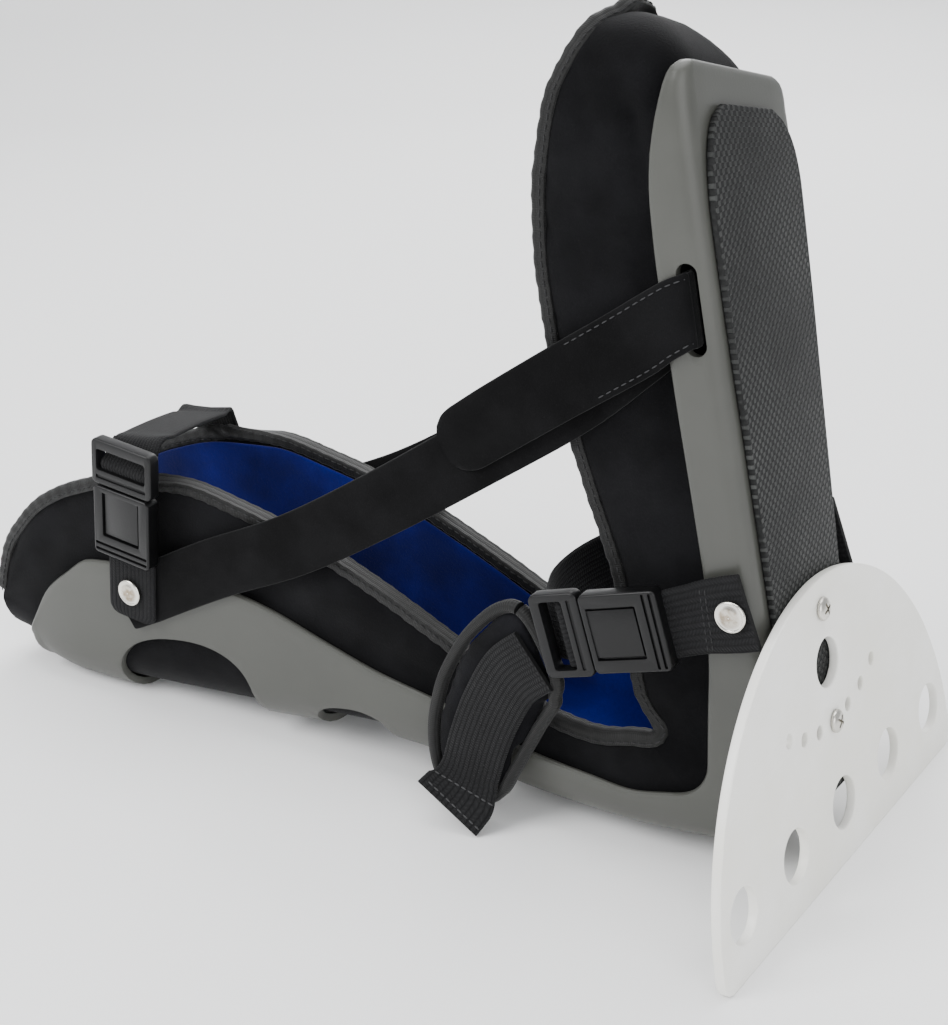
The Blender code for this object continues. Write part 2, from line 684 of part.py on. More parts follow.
def build_calf_closure():
    """Tab, buckle and webbing over the calf, and its far end."""
    outer = CALF_HALF + STRAP_THICK + 0.0014
    y_tab = outer + 0.5 * STRAP_THICK
    lean = Vector((0.27, 0.0, 0.963)).normalized()
    width = (0.963, 0.0, -0.27)
    rivet = Vector((-0.302, -y_tab, 0.1050))
    rows = [(rivet - lean * 0.0125, width, STRAP_WIDTH * 0.82),
            (rivet - lean * 0.0095, width, STRAP_WIDTH),
            (rivet + lean * 0.0150, width, STRAP_WIDTH),
            (rivet + lean * 0.0166 + Vector((0, -0.0012, 0)), width, STRAP_WIDTH)]
    tab = ribbon("calf_tab", rows, STRAP_THICK, ((0.022, 0.022, 0.024), 0.85))
    centre = rivet + lean * (0.0172 + 0.5 * BUCKLE_LENGTH) + Vector((0, -0.0034, 0))
    build_buckle("calf", centre, lean, (0, -1, 0))
    slot = centre + lean * (0.5 * BUCKLE_LENGTH - 0.0096)
    flat = (1.0, 0.0, -0.05)
    rows = [(slot + lean * -0.0016 + Vector((0, -0.0004, 0)), width, STRAP_WIDTH),
            (slot + lean * 0.0004 + Vector((0, 0.0034, 0)), width, STRAP_WIDTH),
            (slot + lean * 0.0044 + Vector((0, 0.0058, 0)), width, STRAP_WIDTH),
            (slot + lean * 0.0090 + Vector((0, 0.0094, 0)), flat, STRAP_WIDTH)]
    start = Vector(rows[-1][0])
    far = Vector((-0.316, CALF_HALF + 0.0060, 0.1590))
    for k in range(1, 8):
        t = k / 8
        point = start.lerp(far, t)
        point.z += 0.0012 * math.sin(math.pi * t) ** 0.8
        rows.append((point, flat, STRAP_WIDTH))
    rows += [(Vector((-0.3160, outer + 0.0010, 0.1440)), flat, STRAP_WIDTH),
             (Vector((-0.3100, outer + 0.5 * STRAP_THICK, 0.1300)), width, STRAP_WIDTH),
             (Vector((-0.3020, outer + 0.5 * STRAP_THICK, 0.1050)), width, STRAP_WIDTH),
             (Vector((-0.2985, outer + 0.5 * STRAP_THICK, 0.0930)), width, STRAP_WIDTH)]
    webbing = ribbon("calf_webbing", rows, STRAP_THICK, ((0.018, 0.018, 0.020), 0.75))
    y_cap = y_tab + 0.5 * STRAP_THICK + GAP
    build_rivet("rivet_calf_near", (rivet.x, -y_cap, rivet.z), -1)
    build_rivet("rivet_calf_far", (rivet.x, y_cap, rivet.z), 1)
    return tab, webbing


def build_ankle_closure():
    """Tab, buckle, webbing round the ankle with its hanging tail, and the pad."""
    outer = FOOT_HALF + 0.0008
    y_tab = outer + 0.5 * STRAP_THICK
    width = (0.10, 0.0, 0.995)
    rows = [((SOLE_X - 0.0004, -y_tab, 0.1152), width, TAB_WIDTH),
            ((-0.0140, -y_tab, 0.1140), width, TAB_WIDTH),
            ((-0.0280, -y_tab - 0.0004, 0.1115), (-0.05, 0.0, 0.998), STRAP_WIDTH),
            ((-0.0350, -y_tab - 0.0020, 0.1104), (-0.11, 0.0, 0.994), STRAP_WIDTH)]
    tab = ribbon("heel_tab", rows, STRAP_THICK, ((0.022, 0.022, 0.024), 0.85))
    along = Vector((-0.990, -0.05, -0.110)).normalized()
    square = (-0.110, 0.0, 0.994)
    centre = Vector((-0.0372, -y_tab - 0.0062, 0.1098)) + along * 0.5 * BUCKLE_LENGTH
    build_buckle("ankle", centre, along, (0, -1, 0))
    slot = centre + along * (0.5 * BUCKLE_LENGTH - 0.0096)
    far = FOOT_HALF + 0.0018
    rows = [(slot + Vector((0.0016, -0.0004, 0.0)), square, STRAP_WIDTH),
            (slot + Vector((-0.0002, 0.0036, 0.0)), square, STRAP_WIDTH),
            (slot + Vector((-0.0040, 0.0062, -0.0004)), square, STRAP_WIDTH),
            (slot + Vector((-0.0120, 0.0086, -0.0008)), width, STRAP_WIDTH),
            ((-0.0975, -0.030, 0.1010), width, STRAP_WIDTH),
            ((-0.1060, -0.010, 0.1020), width, STRAP_WIDTH),
            ((-0.1060, 0.014, 0.1030), width, STRAP_WIDTH),
            ((-0.0940, 0.034, 0.1050), width, STRAP_WIDTH),
            ((-0.0700, far + 0.0010, 0.1080), width, STRAP_WIDTH),
            ((-0.0400, far, 0.1110), width, STRAP_WIDTH),
            ((-0.0140, far, 0.1140), width, TAB_WIDTH),
            ((SOLE_X - 0.0004, far, 0.1150), width, TAB_WIDTH)]
    webbing = ribbon("ankle_webbing", smooth_rows(rows, 2), STRAP_THICK,
                     ((0.018, 0.018, 0.020), 0.75))
    y_cap = y_tab + 0.5 * STRAP_THICK + GAP + 0.0002
    build_rivet("rivet_heel_near", (-0.0140, -y_cap, 0.1140), -1)
    build_rivet("rivet_heel_far", (-0.0140, far + 0.5 * STRAP_THICK + GAP, 0.1140), 1)

    # Pad that hangs from the clip over the near wall, and the webbing tail on it
    wall = CALF_HALF + 0.0016 + 0.5 * PAD_THICK
    rows = [((-0.0945, -wall - 0.0010, 0.0960), (0.10, 0, 0.995), PAD_WIDTH * 0.78),
            ((-0.1010, -wall - 0.0004, 0.0930), (0.22, 0, 0.975), PAD_WIDTH * 0.94),
            ((-0.1120, -wall, 0.0830), (-0.42, 0, 0.907), PAD_WIDTH),
            ((-0.1230, -wall, 0.0690), (-0.70, 0, 0.714), PAD_WIDTH),
            ((-0.1310, -wall - 0.0010, 0.0540), (-0.90, 0, 0.436), PAD_WIDTH * 0.92),
            ((-0.1350, -wall - 0.0020, 0.0410), (-0.98, 0, 0.199), PAD_WIDTH * 0.76),
            ((-0.1362, -wall - 0.0024, 0.0350), (-0.99, 0, 0.141), PAD_WIDTH * 0.56)]
    pad = ribbon("instep_pad", rows, PAD_THICK, ((0.026, 0.026, 0.030), 0.9))
    skin = wall + 0.5 * PAD_THICK + 0.5 * STRAP_THICK + 0.0006
    rows = [((-0.0945, -skin - 0.0010, 0.0930), (0.10, 0, 0.995), STRAP_WIDTH),
            ((-0.1070, -skin - 0.0004, 0.0850), (-0.42, 0, 0.907), STRAP_WIDTH),
            ((-0.1190, -skin, 0.0700), (-0.74, 0, 0.673), STRAP_WIDTH),
            ((-0.1270, -skin - 0.0008, 0.0560), (-0.93, 0, 0.368), STRAP_WIDTH),
            ((-0.1325, -skin - 0.0016, 0.0440), (-0.960, 0, 0.280), STRAP_WIDTH),
            ((-0.1345, -skin - 0.0036, 0.0388), (-0.930, -0.05, 0.370), STRAP_WIDTH * 1.06),
            ((-0.1365, -skin - 0.0066, 0.0349), (-0.860, -0.15, 0.480), STRAP_WIDTH * 1.18),
            ((-0.1400, -skin - 0.0115, 0.0308), (-0.790, -0.24, 0.560), STRAP_WIDTH * 1.20)]
    tail = ribbon("ankle_tail", rows, STRAP_THICK, ((0.018, 0.018, 0.020), 0.75))
    return tab, webbing, pad, tail


def settle(parts):
    """Lean the splint back onto its calf end and stand it on the origin's level."""
    turn = Matrix.Rotation(-LEAN, 4, "Y")
    for obj in parts:
        obj.data.transform(turn)
    low = Vector((1, 1, 1))
    high = Vector((-1, -1, -1))
    for obj in parts:
        for vertex in obj.data.vertices:
            for k in range(3):
                low[k] = min(low[k], vertex.co[k])
                high[k] = max(high[k], vertex.co[k])
    shift = Matrix.Translation((-0.5 * (low.x + high.x), -0.5 * (low.y + high.y), -low.z))
    for obj in parts:
        obj.data.transform(shift)
        obj.data.update()


def slant_toes(names):
    """Slant the toe end, so that it ends lower on its far side than on its near side."""
    start = SLANT_START * FOOT_LENGTH
    for name in names:
        obj = bpy.data.objects[name]
        for vertex in obj.data.vertices:
            rise = min(1.0, max(0.0, (vertex.co.z - start) / (FOOT_LENGTH - start)))
            ease = rise * rise * (3 - 2 * rise)
            vertex.co.z -= TOE_SLANT * ease * (vertex.co.y + SLANT_PIVOT)
        obj.data.update()


def main():
    for obj in list(bpy.data.objects):
        bpy.data.objects.remove(obj, do_unlink=True)
    build_shell()
    build_tread()
    build_plate()
    build_screw("plate_screw_upper", SCREW_LEVEL)
    build_screw("plate_screw_lower", ANGLE_LEVEL)
    _, _, rims = build_liner()
    build_binding(rims)
    build_angle_strap("angle_strap_near", -1)
    build_angle_strap("angle_strap_far", 1)
    build_calf_closure()
    build_ankle_closure()
    slant_toes(("shell", "tread_pad", "liner", "lining", "liner_binding"))
    settle([obj for obj in bpy.data.objects if obj.type == "MESH"])


main()
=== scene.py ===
"""Finishes of the night splint: moulded shell, printed tread, white plate, padded
liner, webbing straps, buckles, rivets and the pad under the ankle buckle.

Everything is drawn in the splint's sole frame (+X out of the sole, +Y to the far
side, +Z from heel to toes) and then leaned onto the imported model.
"""
import math

import bmesh
import bpy
from mathutils import Matrix, Vector, noise


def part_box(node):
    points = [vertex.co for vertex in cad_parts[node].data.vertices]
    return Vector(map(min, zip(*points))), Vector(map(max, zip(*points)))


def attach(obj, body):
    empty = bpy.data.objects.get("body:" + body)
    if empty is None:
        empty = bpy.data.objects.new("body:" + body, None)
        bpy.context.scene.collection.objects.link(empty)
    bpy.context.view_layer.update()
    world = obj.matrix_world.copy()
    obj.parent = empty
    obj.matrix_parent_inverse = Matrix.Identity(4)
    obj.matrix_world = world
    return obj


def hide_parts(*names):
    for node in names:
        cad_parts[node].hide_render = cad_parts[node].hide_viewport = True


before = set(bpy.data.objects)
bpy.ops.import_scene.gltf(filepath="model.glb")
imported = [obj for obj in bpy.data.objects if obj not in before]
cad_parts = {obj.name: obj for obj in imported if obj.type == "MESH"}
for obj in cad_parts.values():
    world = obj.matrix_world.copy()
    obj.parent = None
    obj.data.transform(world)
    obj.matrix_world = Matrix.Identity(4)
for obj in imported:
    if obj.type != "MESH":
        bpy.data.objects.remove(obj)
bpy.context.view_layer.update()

bl_info = {
    "name": "Night Splint Finishes",
    "version": (1, 0, 0),
    "blender": (4, 5, 0),
    "location": "View3D > Sidebar > Splint",
    "description": "Builds the visible surfaces of a padded night splint",
    "category": "Object",
}

PLATE_LOW, PLATE_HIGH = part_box("rotation_plate")
PLATE_THICK = 0.0040
PLATE_HEIGHT = 0.112
PLATE_HALF = PLATE_HIGH[1]
LEAN = math.asin((PLATE_HIGH[0] - PLATE_LOW[0] - PLATE_THICK * 0.989) / PLATE_HEIGHT)
TO_WORLD = Matrix.Translation((PLATE_HIGH[0], 0.0, 0.0)) @ Matrix.Rotation(-LEAN, 4, "Y")

# Shell and liner sizes, metres
SOLE_X = -0.007
SHELL_WALL = 0.0032
FOOT_LENGTH = 0.298
FOOT_WALL = 0.0195
FOOT_HALF = 0.038
CALF_LENGTH = 0.384
CALF_HALF = 0.040
CALF_RIM = 0.116
KNEE_RISE = 0.050
HEEL_RADIUS = 0.030
HEEL_DROP = 0.016
FOOT_CORNER = 0.007
CALF_CORNER = 0.021
SLOT_X = SOLE_X - 0.0082
SLOT_HEIGHT = 0.222
LINER_END = 0.400
LINER_RIM = 0.150
LINER_WING = 0.072
LINER_WALL = 0.0052
LINING_WALL = 0.0018
SEAT = 0.0004
# Frames for which the cloth is blown up, and the width of the ankle's pad
SWELL_FRAMES = 20
PAD_WIDTH = 0.046
# Arc of the plate's small holes, and the level of its lowest hole, which holds the lower screw
ARC_RADIUS = 0.078
ARC_LEVEL = 0.0565
# Fall of the toe end per metre across, its start as a share of FOOT_LENGTH, and its pivot
TOE_SLANT = 0.27
SLANT_START = 0.80
SLANT_PIVOT = 0.012

# Shell stations as shares of CALF_LENGTH, KNEE_RISE, CALF_RIM and CALF_HALF
CALF = (
    # reach, under, rim, half
    (0.135, 0.320, 0.325, 0.91),
    (0.175, 0.330, 0.315, 0.91),
    (0.230, 0.380, 0.355, 0.92),
    (0.305, 0.480, 0.425, 0.93),
    (0.390, 0.640, 0.555, 0.95),
    (0.470, 0.760, 0.650, 0.96),
    (0.535, 0.815, 0.750, 0.97),
    (0.600, 0.850, 0.855, 0.98),
    (0.655, 0.865, 0.915, 0.98),
    (0.755, 0.915, 0.975, 0.99),
    (0.860, 0.985, 1.000, 1.00),
    (0.906, 1.030, 0.935, 1.00),
    (0.942, 1.070, 0.865, 0.99),
    (0.974, 1.140, 0.755, 0.97),
    (0.996, 1.240, 0.675, 0.95),
)

# Foot stations as shares of FOOT_LENGTH, FOOT_WALL and FOOT_HALF
FOOT = (
    # level, wall, half
    (0.235, 1.34, 0.91),
    (0.315, 1.14, 0.92),
    (0.420, 0.98, 0.94),
    (0.500, 0.98, 0.96),
    (0.670, 1.00, 0.99),
    (0.792, 1.00, 1.00),
    (0.860, 0.96, 1.00),
    (0.900, 0.86, 1.00),
    (0.940, 0.66, 0.99),
    (0.972, 0.46, 0.965),
    (0.990, 0.36, 0.90),
    (1.000, 0.30, 0.80),
)

# Liner over the calf as shares of LINER_END and LINER_RIM, and the lean of its walls
LINER_CALF = (
    # reach, rim, lean
    (0.165, 0.380, 1.00),
    (0.200, 0.370, 1.00),
    (0.245, 0.395, 1.00),
    (0.305, 0.480, 0.99),
    (0.375, 0.610, 0.98),
    (0.450, 0.740, 0.97),
    (0.520, 0.845, 0.97),
    (0.600, 0.935, 0.97),
    (0.680, 1.000, 0.97),
    (0.760, 1.010, 0.98),
    (0.830, 0.985, 0.99),
    (0.895, 0.930, 1.00),
    (0.935, 0.860, 1.00),
    (0.957, 0.815, 1.00),
    (0.980, 0.740, 0.98),
    (1.000, 0.640, 0.96),
)

# Liner beside the foot as shares of FOOT_LENGTH, LINER_WING, LINER_WING and FOOT_HALF
LINER_FOOT = (
    # level, set_in, wing, half
    (0.245, 0.00, 0.77, 0.79),
    (0.310, 0.00, 0.78, 0.79),
    (0.400, 0.00, 0.79, 0.79),
    (0.490, 0.00, 0.85, 0.80),
    (0.600, 0.00, 0.92, 0.82),
    (0.710, 0.00, 0.96, 0.815),
    (0.800, 0.00, 0.95, 0.825),
    (0.870, 0.00, 0.91, 0.825),
    (0.930, 0.00, 0.83, 0.825),
    (0.980, 0.02, 0.74, 0.82),
    (1.010, 0.07, 0.65, 0.78),
    (1.040, 0.16, 0.58, 0.66),
    (1.060, 0.26, 0.54, 0.46),
    (1.068, 0.34, 0.50, 0.26),
)


def lerp(a, b, t):
    """Value at share t of the way from a to b."""
    return a + (b - a) * t


def smooth_at(rows, value, column):
    """Read a column of a table on a smooth curve that doesn't overshoot its rows."""
    last = len(rows) - 1
    if value <= rows[0][0]:
        return rows[0][column]
    if value >= rows[last][0]:
        return rows[last][column]
    i = max(k for k in range(last) if rows[k][0] <= value)
    steps = [rows[k + 1][0] - rows[k][0] for k in range(last)]
    slopes = [(rows[k + 1][column] - rows[k][column]) / steps[k] for k in range(last)]

    def tangent(k):
        """Slope at a row, flat where the values turn back."""
        if k == 0 or k == last:
            return slopes[min(k, last - 1)]
        if slopes[k - 1] * slopes[k] <= 0:
            return 0.0
        return 2 * slopes[k - 1] * slopes[k] / (slopes[k - 1] + slopes[k])

    t = (value - rows[i][0]) / steps[i]
    h = steps[i]
    return ((2 * t ** 3 - 3 * t ** 2 + 1) * rows[i][column] + (t ** 3 - 2 * t ** 2 + t) * h * tangent(i)
            + (3 * t ** 2 - 2 * t ** 3) * rows[i + 1][column] + (t ** 3 - t ** 2) * h * tangent(i + 1))


def spread(low, high, count):
    """Evenly spaced values from low to high."""
    return [lerp(low, high, k / (count - 1)) for k in range(count)]


def slanted(point):
    """Move a point of the toe end down on the far side, where the toe end lies lower."""
    start = SLANT_START * FOOT_LENGTH
    rise = min(1.0, max(0.0, (point.z - start) / (FOOT_LENGTH - start)))
    ease = rise * rise * (3 - 2 * rise)
    return Vector((point.x, point.y, point.z - TOE_SLANT * ease * (point.y + SLANT_PIVOT)))


def mesh_object(name, bm, material=None):
    """Make an object of a bmesh as it is drawn."""
    mesh = bpy.data.meshes.new(name)
    bm.to_mesh(mesh)
    bm.free()
    obj = bpy.data.objects.new(name, mesh)
    bpy.context.scene.collection.objects.link(obj)
    if material:
        mesh.materials.append(material)
    return obj


def shade(obj, sharp):
    """Shade an object smooth, with edges above an angle in degrees kept sharp."""
    obj.data.shade_smooth()
    obj.data.set_sharp_from_angle(angle=math.radians(sharp))


def finish_mesh(name, bm, material, sharp=40.0, toes=False):
    """Make an object of a bmesh drawn in the sole frame, leaned into place and smooth shaded."""
    if toes:
        for vertex in bm.verts:
            vertex.co = slanted(vertex.co)
    bmesh.ops.recalc_face_normals(bm, faces=bm.faces)
    if bm.calc_volume(signed=True) < 0:
        bmesh.ops.reverse_faces(bm, faces=bm.faces)
    obj = mesh_object(name, bm, material)
    obj.data.transform(TO_WORLD)
    shade(obj, sharp)
    return obj


def bake(obj):
    """Apply an object's modifiers to its mesh."""
    graph = bpy.context.evaluated_depsgraph_get()
    mesh = bpy.data.meshes.new_from_object(obj.evaluated_get(graph))
    obj.modifiers.clear()
    obj.data = mesh


def hand_over(obj, node, extra=False):
    """Ride the object on the body and hide the solid that it stands for.

    An extra is a stitch line, piping or bar that comes with a piece.
    """
    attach(obj, "root")
    if not extra:
        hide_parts(node)


def cut_away(target, cutters):
    """Cut solids out of an object and delete them."""
    for cutter in cutters:
        modifier = target.modifiers.new("cut", "BOOLEAN")
        modifier.operation = "DIFFERENCE"
        modifier.solver = "EXACT"
        modifier.object = cutter
    bake(target)
    for cutter in cutters:
        bpy.data.objects.remove(cutter, do_unlink=True)


def ease_edges(obj, width, segments, angle):
    """Round an object's sharp edges a little, as a mould leaves them."""
    modifier = obj.modifiers.new("ease", "BEVEL")
    modifier.width = width
    modifier.segments = segments
    modifier.limit_method = "ANGLE"
    modifier.angle_limit = math.radians(angle)
    modifier.use_clamp_overlap = True
    bake(obj)
    shade(obj, 34)


def skin(sections):
    """Quads through closed sections, with UVs in metres along and round the piece."""
    bm = bmesh.new()
    uv = bm.loops.layers.uv.new("UVMap")
    rings = [[bm.verts.new(point) for point in section] for section in sections]
    count = len(sections[0])
    around = [0.0]
    middle = sections[len(sections) // 2]
    for i in range(count):
        around.append(around[-1] + (Vector(middle[(i + 1) % count]) - Vector(middle[i])).length)
    reach = 0.0
    for low, high, a, b in zip(rings, rings[1:], sections, sections[1:]):
        step = (Vector(b[0]) - Vector(a[0])).length
        for i in range(count):
            j = (i + 1) % count
            face = bm.faces.new((low[i], low[j], high[j], high[i]))
            corners = ((reach, around[i]), (reach, around[i + 1]),
                       (reach + step, around[i + 1]), (reach + step, around[i]))
            for loop, corner in zip(face.loops, corners):
                loop[uv].uv = corner
        reach += step
    bm.faces.new(rings[0])
    bm.faces.new(tuple(reversed(rings[-1])))
    return bm


def u_path(half, rim_half, depth, corner, inset, arc, side, floor):
    """One face of a U wall from the near rim round the bottom to the far rim."""
    corner = max(min(corner, 0.86 * depth, 0.9 * half) - inset, 0.0006)
    wide = half - inset
    near = []
    for k in range(side):
        t = k / side
        near.append((-lerp(rim_half - inset, wide, t), lerp(depth, inset + corner, t)))
    for k in range(arc + 1):
        angle = math.pi + 0.5 * math.pi * k / arc
        near.append((-(wide - corner) + corner * math.cos(angle),
                     inset + corner + corner * math.sin(angle)))
    flat = [(lerp(-(wide - corner), wide - corner, k / floor), inset) for k in range(1, floor)]
    return near + flat + [(-u, w) for u, w in reversed(near)]


def u_section(half, rim_half, depth, corner, wall, thin=0.0, arc=7, side=7, floor=8):
    """Closed U section with a half-round lip; thin draws its faces together at an end."""
    straight = max(depth - 0.5 * wall, 0.4 * depth)
    outer = u_path(half, rim_half, straight, corner, thin, arc, side, floor)
    inner = u_path(half, rim_half, straight, corner, wall - thin, arc, side, floor)
    radius = 0.5 * wall - thin
    lip = []
    for degrees in (36, 72, 108, 144):
        angle = math.radians(degrees)
        lip.append((rim_half - 0.5 * wall + radius * math.cos(angle), straight + radius * math.sin(angle)))
    return outer + lip + list(reversed(inner)) + [(-u, w) for u, w in reversed(lip)]


def stand(section, foot, rim):
    """Stand a U section on the point foot with its open side towards the point rim."""
    size = math.hypot(rim[0] - foot[0], rim[1] - foot[1])
    ex = (rim[0] - foot[0]) / size
    ez = (rim[1] - foot[1]) / size
    return [(foot[0] + w * ex, u, foot[1] + w * ez) for u, w in section]


def heel_fan(set_in, rim_centre, rim_radius, steps):
    """Pairs of underside and rim points that turn the heel."""
    pairs = []
    for degrees in spread(0, -90, steps):
        c = math.cos(math.radians(degrees))
        s = math.sin(math.radians(degrees))
        reach = HEEL_RADIUS - set_in
        pairs.append(((SOLE_X - HEEL_RADIUS + reach * c, HEEL_DROP + HEEL_RADIUS + reach * s),
                      (rim_centre[0] + rim_radius * c, rim_centre[1] + rim_radius * s)))
    return pairs


def calf_under(reach):
    """Height of the shell's underside at a place along the calf."""
    past = max(0.0, reach - CALF[-1][0] * CALF_LENGTH)
    return KNEE_RISE * smooth_at(CALF, reach / CALF_LENGTH, 1) + 0.35 * past


def calf_half(reach):
    """Half the shell's width at a place along the calf."""
    return CALF_HALF * smooth_at(CALF, reach / CALF_LENGTH, 3)


def prism_cutter(outline, low, high, axis):
    """Prism to cut with: an outline drawn across one axis, between two places on it."""
    bm = bmesh.new()
    place = {"X": lambda u, v, at: (at, u, v), "Y": lambda u, v, at: (u, at, v),
             "Z": lambda u, v, at: (u, v, at)}[axis]
    rings = [[bm.verts.new(place(u, v, at)) for u, v in outline] for at in (low, high)]
    for i in range(len(outline)):
        j = (i + 1) % len(outline)
        bm.faces.new((rings[0][i], rings[0][j], rings[1][j], rings[1][i]))
    bm.faces.new(rings[0])
    bm.faces.new(tuple(reversed(rings[1])))
    bmesh.ops.recalc_face_normals(bm, faces=bm.faces)
    return mesh_object("cutter", bm)


def circle(centre, radius, sides):
    """Points of a circle in a plane."""
    return [(centre[0] + radius * math.cos(2 * math.pi * k / sides),
             centre[1] + radius * math.sin(2 * math.pi * k / sides)) for k in range(sides)]


def rounded_box(width, height, radius, steps=6):
    """Outline of a rectangle about the origin with round corners."""
    points = []
    for cx, cy, start in ((1, 1, 0), (-1, 1, 90), (-1, -1, 180), (1, -1, 270)):
        for k in range(steps + 1):
            angle = math.radians(start + 90 * k / steps)
            points.append((cx * (0.5 * width - radius) + radius * math.cos(angle),
                           cy * (0.5 * height - radius) + radius * math.sin(angle)))
    return points


def flat_piece(name, outline, holes, low, high, edge):
    """Flat plate with eased edges: its outline and holes filled as a 2D curve."""
    data = bpy.data.curves.new(name, "CURVE")
    data.dimensions = "2D"
    data.fill_mode = "BOTH"
    data.extrude = 0.5 * (high - low) - edge
    data.bevel_depth = edge
    data.bevel_resolution = 2
    data.offset = -edge
    for ring in [outline] + holes:
        spline = data.splines.new("POLY")
        spline.points.add(len(ring) - 1)
        for point, (u, v) in zip(spline.points, ring):
            point.co = (u, v, 0.0, 1.0)
        spline.use_cyclic_u = True
    curve = bpy.data.objects.new(name, data)
    bpy.context.scene.collection.objects.link(curve)
    graph = bpy.context.evaluated_depsgraph_get()
    mesh = bpy.data.meshes.new_from_object(curve.evaluated_get(graph))
    bpy.data.objects.remove(curve, do_unlink=True)
    bm = bmesh.new()
    bm.from_mesh(mesh)
    bmesh.ops.remove_doubles(bm, verts=bm.verts, dist=0.00002)
    bmesh.ops.translate(bm, verts=bm.verts, vec=(0, 0, 0.5 * (low + high)))
    return bm


def turn_flat(bm):
    """Turn a piece drawn flat in XY so that its X runs along +Y, its Y up +Z and its top faces +X."""
    for vertex in bm.verts:
        x, y, z = vertex.co
        vertex.co = (z, x, y)


def face_uv(bm, first, second):
    """UVs in metres straight from two of a point's coordinates."""
    uv = bm.loops.layers.uv.verify()
    for face in bm.faces:
        for loop in face.loops:
            loop[uv].uv = (loop.vert.co[first], loop.vert.co[second])


def smooth_rows(rows, steps):
    """Catmull-Rom through rows of (point, across, width)."""
    out = []
    last = len(rows) - 1
    for i in range(last):
        p = [rows[max(i - 1, 0)], rows[i], rows[i + 1], rows[min(i + 2, last)]]
        a = [Vector(row[0]) for row in p]
        for k in range(steps):
            t = k / steps
            point = 0.5 * ((2 * a[1]) + (a[2] - a[0]) * t
                           + (2 * a[0] - 5 * a[1] + 4 * a[2] - a[3]) * t * t
                           + (3 * a[1] - a[0] - 3 * a[2] + a[3]) * t ** 3)
            ease = t * t * (3 - 2 * t)
            out.append((point, Vector(rows[i][1]).lerp(Vector(rows[i + 1][1]), ease),
                        lerp(rows[i][2], rows[i + 1][2], t)))
    out.append((Vector(rows[-1][0]), Vector(rows[-1][1]), rows[-1][2]))
    return out


def band_frames(rows, square=True):
    """Centre, width direction, outward direction and width at each row of a band."""
    frames = []
    count = len(rows)
    for i, (centre, across, width) in enumerate(rows):
        before = Vector(rows[max(i - 1, 0)][0])
        after = Vector(rows[min(i + 1, count - 1)][0])
        along = (after - before).normalized()
        side = Vector(across)
        if square:
            side = side - side.dot(along) * along
        side.normalize()
        frames.append((Vector(centre), side, along.cross(side).normalized(), width, along))
    return frames


def band_mesh(rows, thickness, square, lanes, ripple):
    """Webbing band with round selvedges; ripple lifts its faces a little, as worn webbing lies."""
    sections = []
    for index, (centre, side, out, width, _) in enumerate(band_frames(rows, square)):
        half = 0.5 * width
        deep = 0.5 * thickness
        loop = []
        for k in range(lanes + 1):
            share = lerp(1.0, -1.0, k / lanes)
            lift = ripple * noise.noise(Vector((index * 0.35, share * 1.7, thickness * 900)))
            loop.append(centre + side * share * (half - deep * 0.8) + out * (deep + lift))
        loop.append(centre - side * (half - deep * 0.25) + out * deep * 0.55)
        loop.append(centre - side * half)
        loop.append(centre - side * (half - deep * 0.25) - out * deep * 0.55)
        for k in range(lanes + 1):
            share = lerp(-1.0, 1.0, k / lanes)
            loop.append(centre + side * share * (half - deep * 0.8) - out * deep)
        loop.append(centre + side * (half - deep * 0.25) - out * deep * 0.55)
        loop.append(centre + side * half)
        loop.append(centre + side * (half - deep * 0.25) + out * deep * 0.55)
        sections.append(loop)
    return skin(sections)


def tube_sections(path, radius, sides, flat):
    """Rings round a path for a tube whose height is flat times its width."""
    sections = []
    count = len(path)
    for i, point in enumerate(path):
        along = (path[min(i + 1, count - 1)] - path[max(i - 1, 0)]).normalized()
        side = along.cross(Vector((0, 1, 0))).normalized()
        out = side.cross(along).normalized()
        sections.append([point + side * radius * math.cos(2 * math.pi * k / sides)
                         + out * radius * flat * math.sin(2 * math.pi * k / sides)
                         for k in range(sides)])
    return sections


def add_stitch(bm, centre, along, out, length, radius):
    """One thread stitch that stands a little proud of the cloth."""
    side = along.cross(out).normalized()
    rings = []
    for share, size in ((-0.5, 0.25), (-0.34, 0.8), (0.0, 1.0), (0.34, 0.8), (0.5, 0.25)):
        lift = out * radius * (0.55 - 1.6 * share * share)
        rings.append([bm.verts.new(centre + along * share * length + lift
                                   + (side * math.cos(a) + out * math.sin(a)) * radius * size)
                      for a in (0.0, 1.047, 2.094, 3.142, 4.189, 5.236)])
    for low, high in zip(rings, rings[1:]):
        for i in range(6):
            j = (i + 1) % 6
            bm.faces.new((low[i], low[j], high[j], high[i]))
    bm.faces.new(rings[0])
    bm.faces.new(tuple(reversed(rings[-1])))


def stitch_run(bm, points, outs, pitch, length, radius):
    """Stitches at an even pitch along a run of points."""
    left = 0.0
    for i in range(len(points) - 1):
        step = points[i + 1] - points[i]
        size = step.length
        if size < 1e-6:
            continue
        along = step / size
        while left < size:
            t = left / size
            out = outs[i].lerp(outs[i + 1], t)
            out = (out - out.dot(along) * along).normalized()
            add_stitch(bm, points[i] + step * t, along, out, length, radius)
            left += pitch
        left -= size


# Shared shader effects

def new_group(name, inputs, outputs):
    """Shader node group with named float inputs and named outputs."""
    group = bpy.data.node_groups.new(name, "ShaderNodeTree")
    for label, default in inputs:
        socket = group.interface.new_socket(name=label, in_out="INPUT", socket_type="NodeSocketFloat")
        socket.default_value = default
    for label in outputs:
        group.interface.new_socket(name=label, in_out="OUTPUT", socket_type="NodeSocketFloat")
    group.nodes.new("NodeGroupInput").name = "into"
    group.nodes.new("NodeGroupOutput").name = "out"
    return group


def feed(tree, value, socket):
    """Set an input to a plain number or link it to a socket."""
    if isinstance(value, (int, float)):
        socket.default_value = value
    else:
        tree.links.new(value, socket)


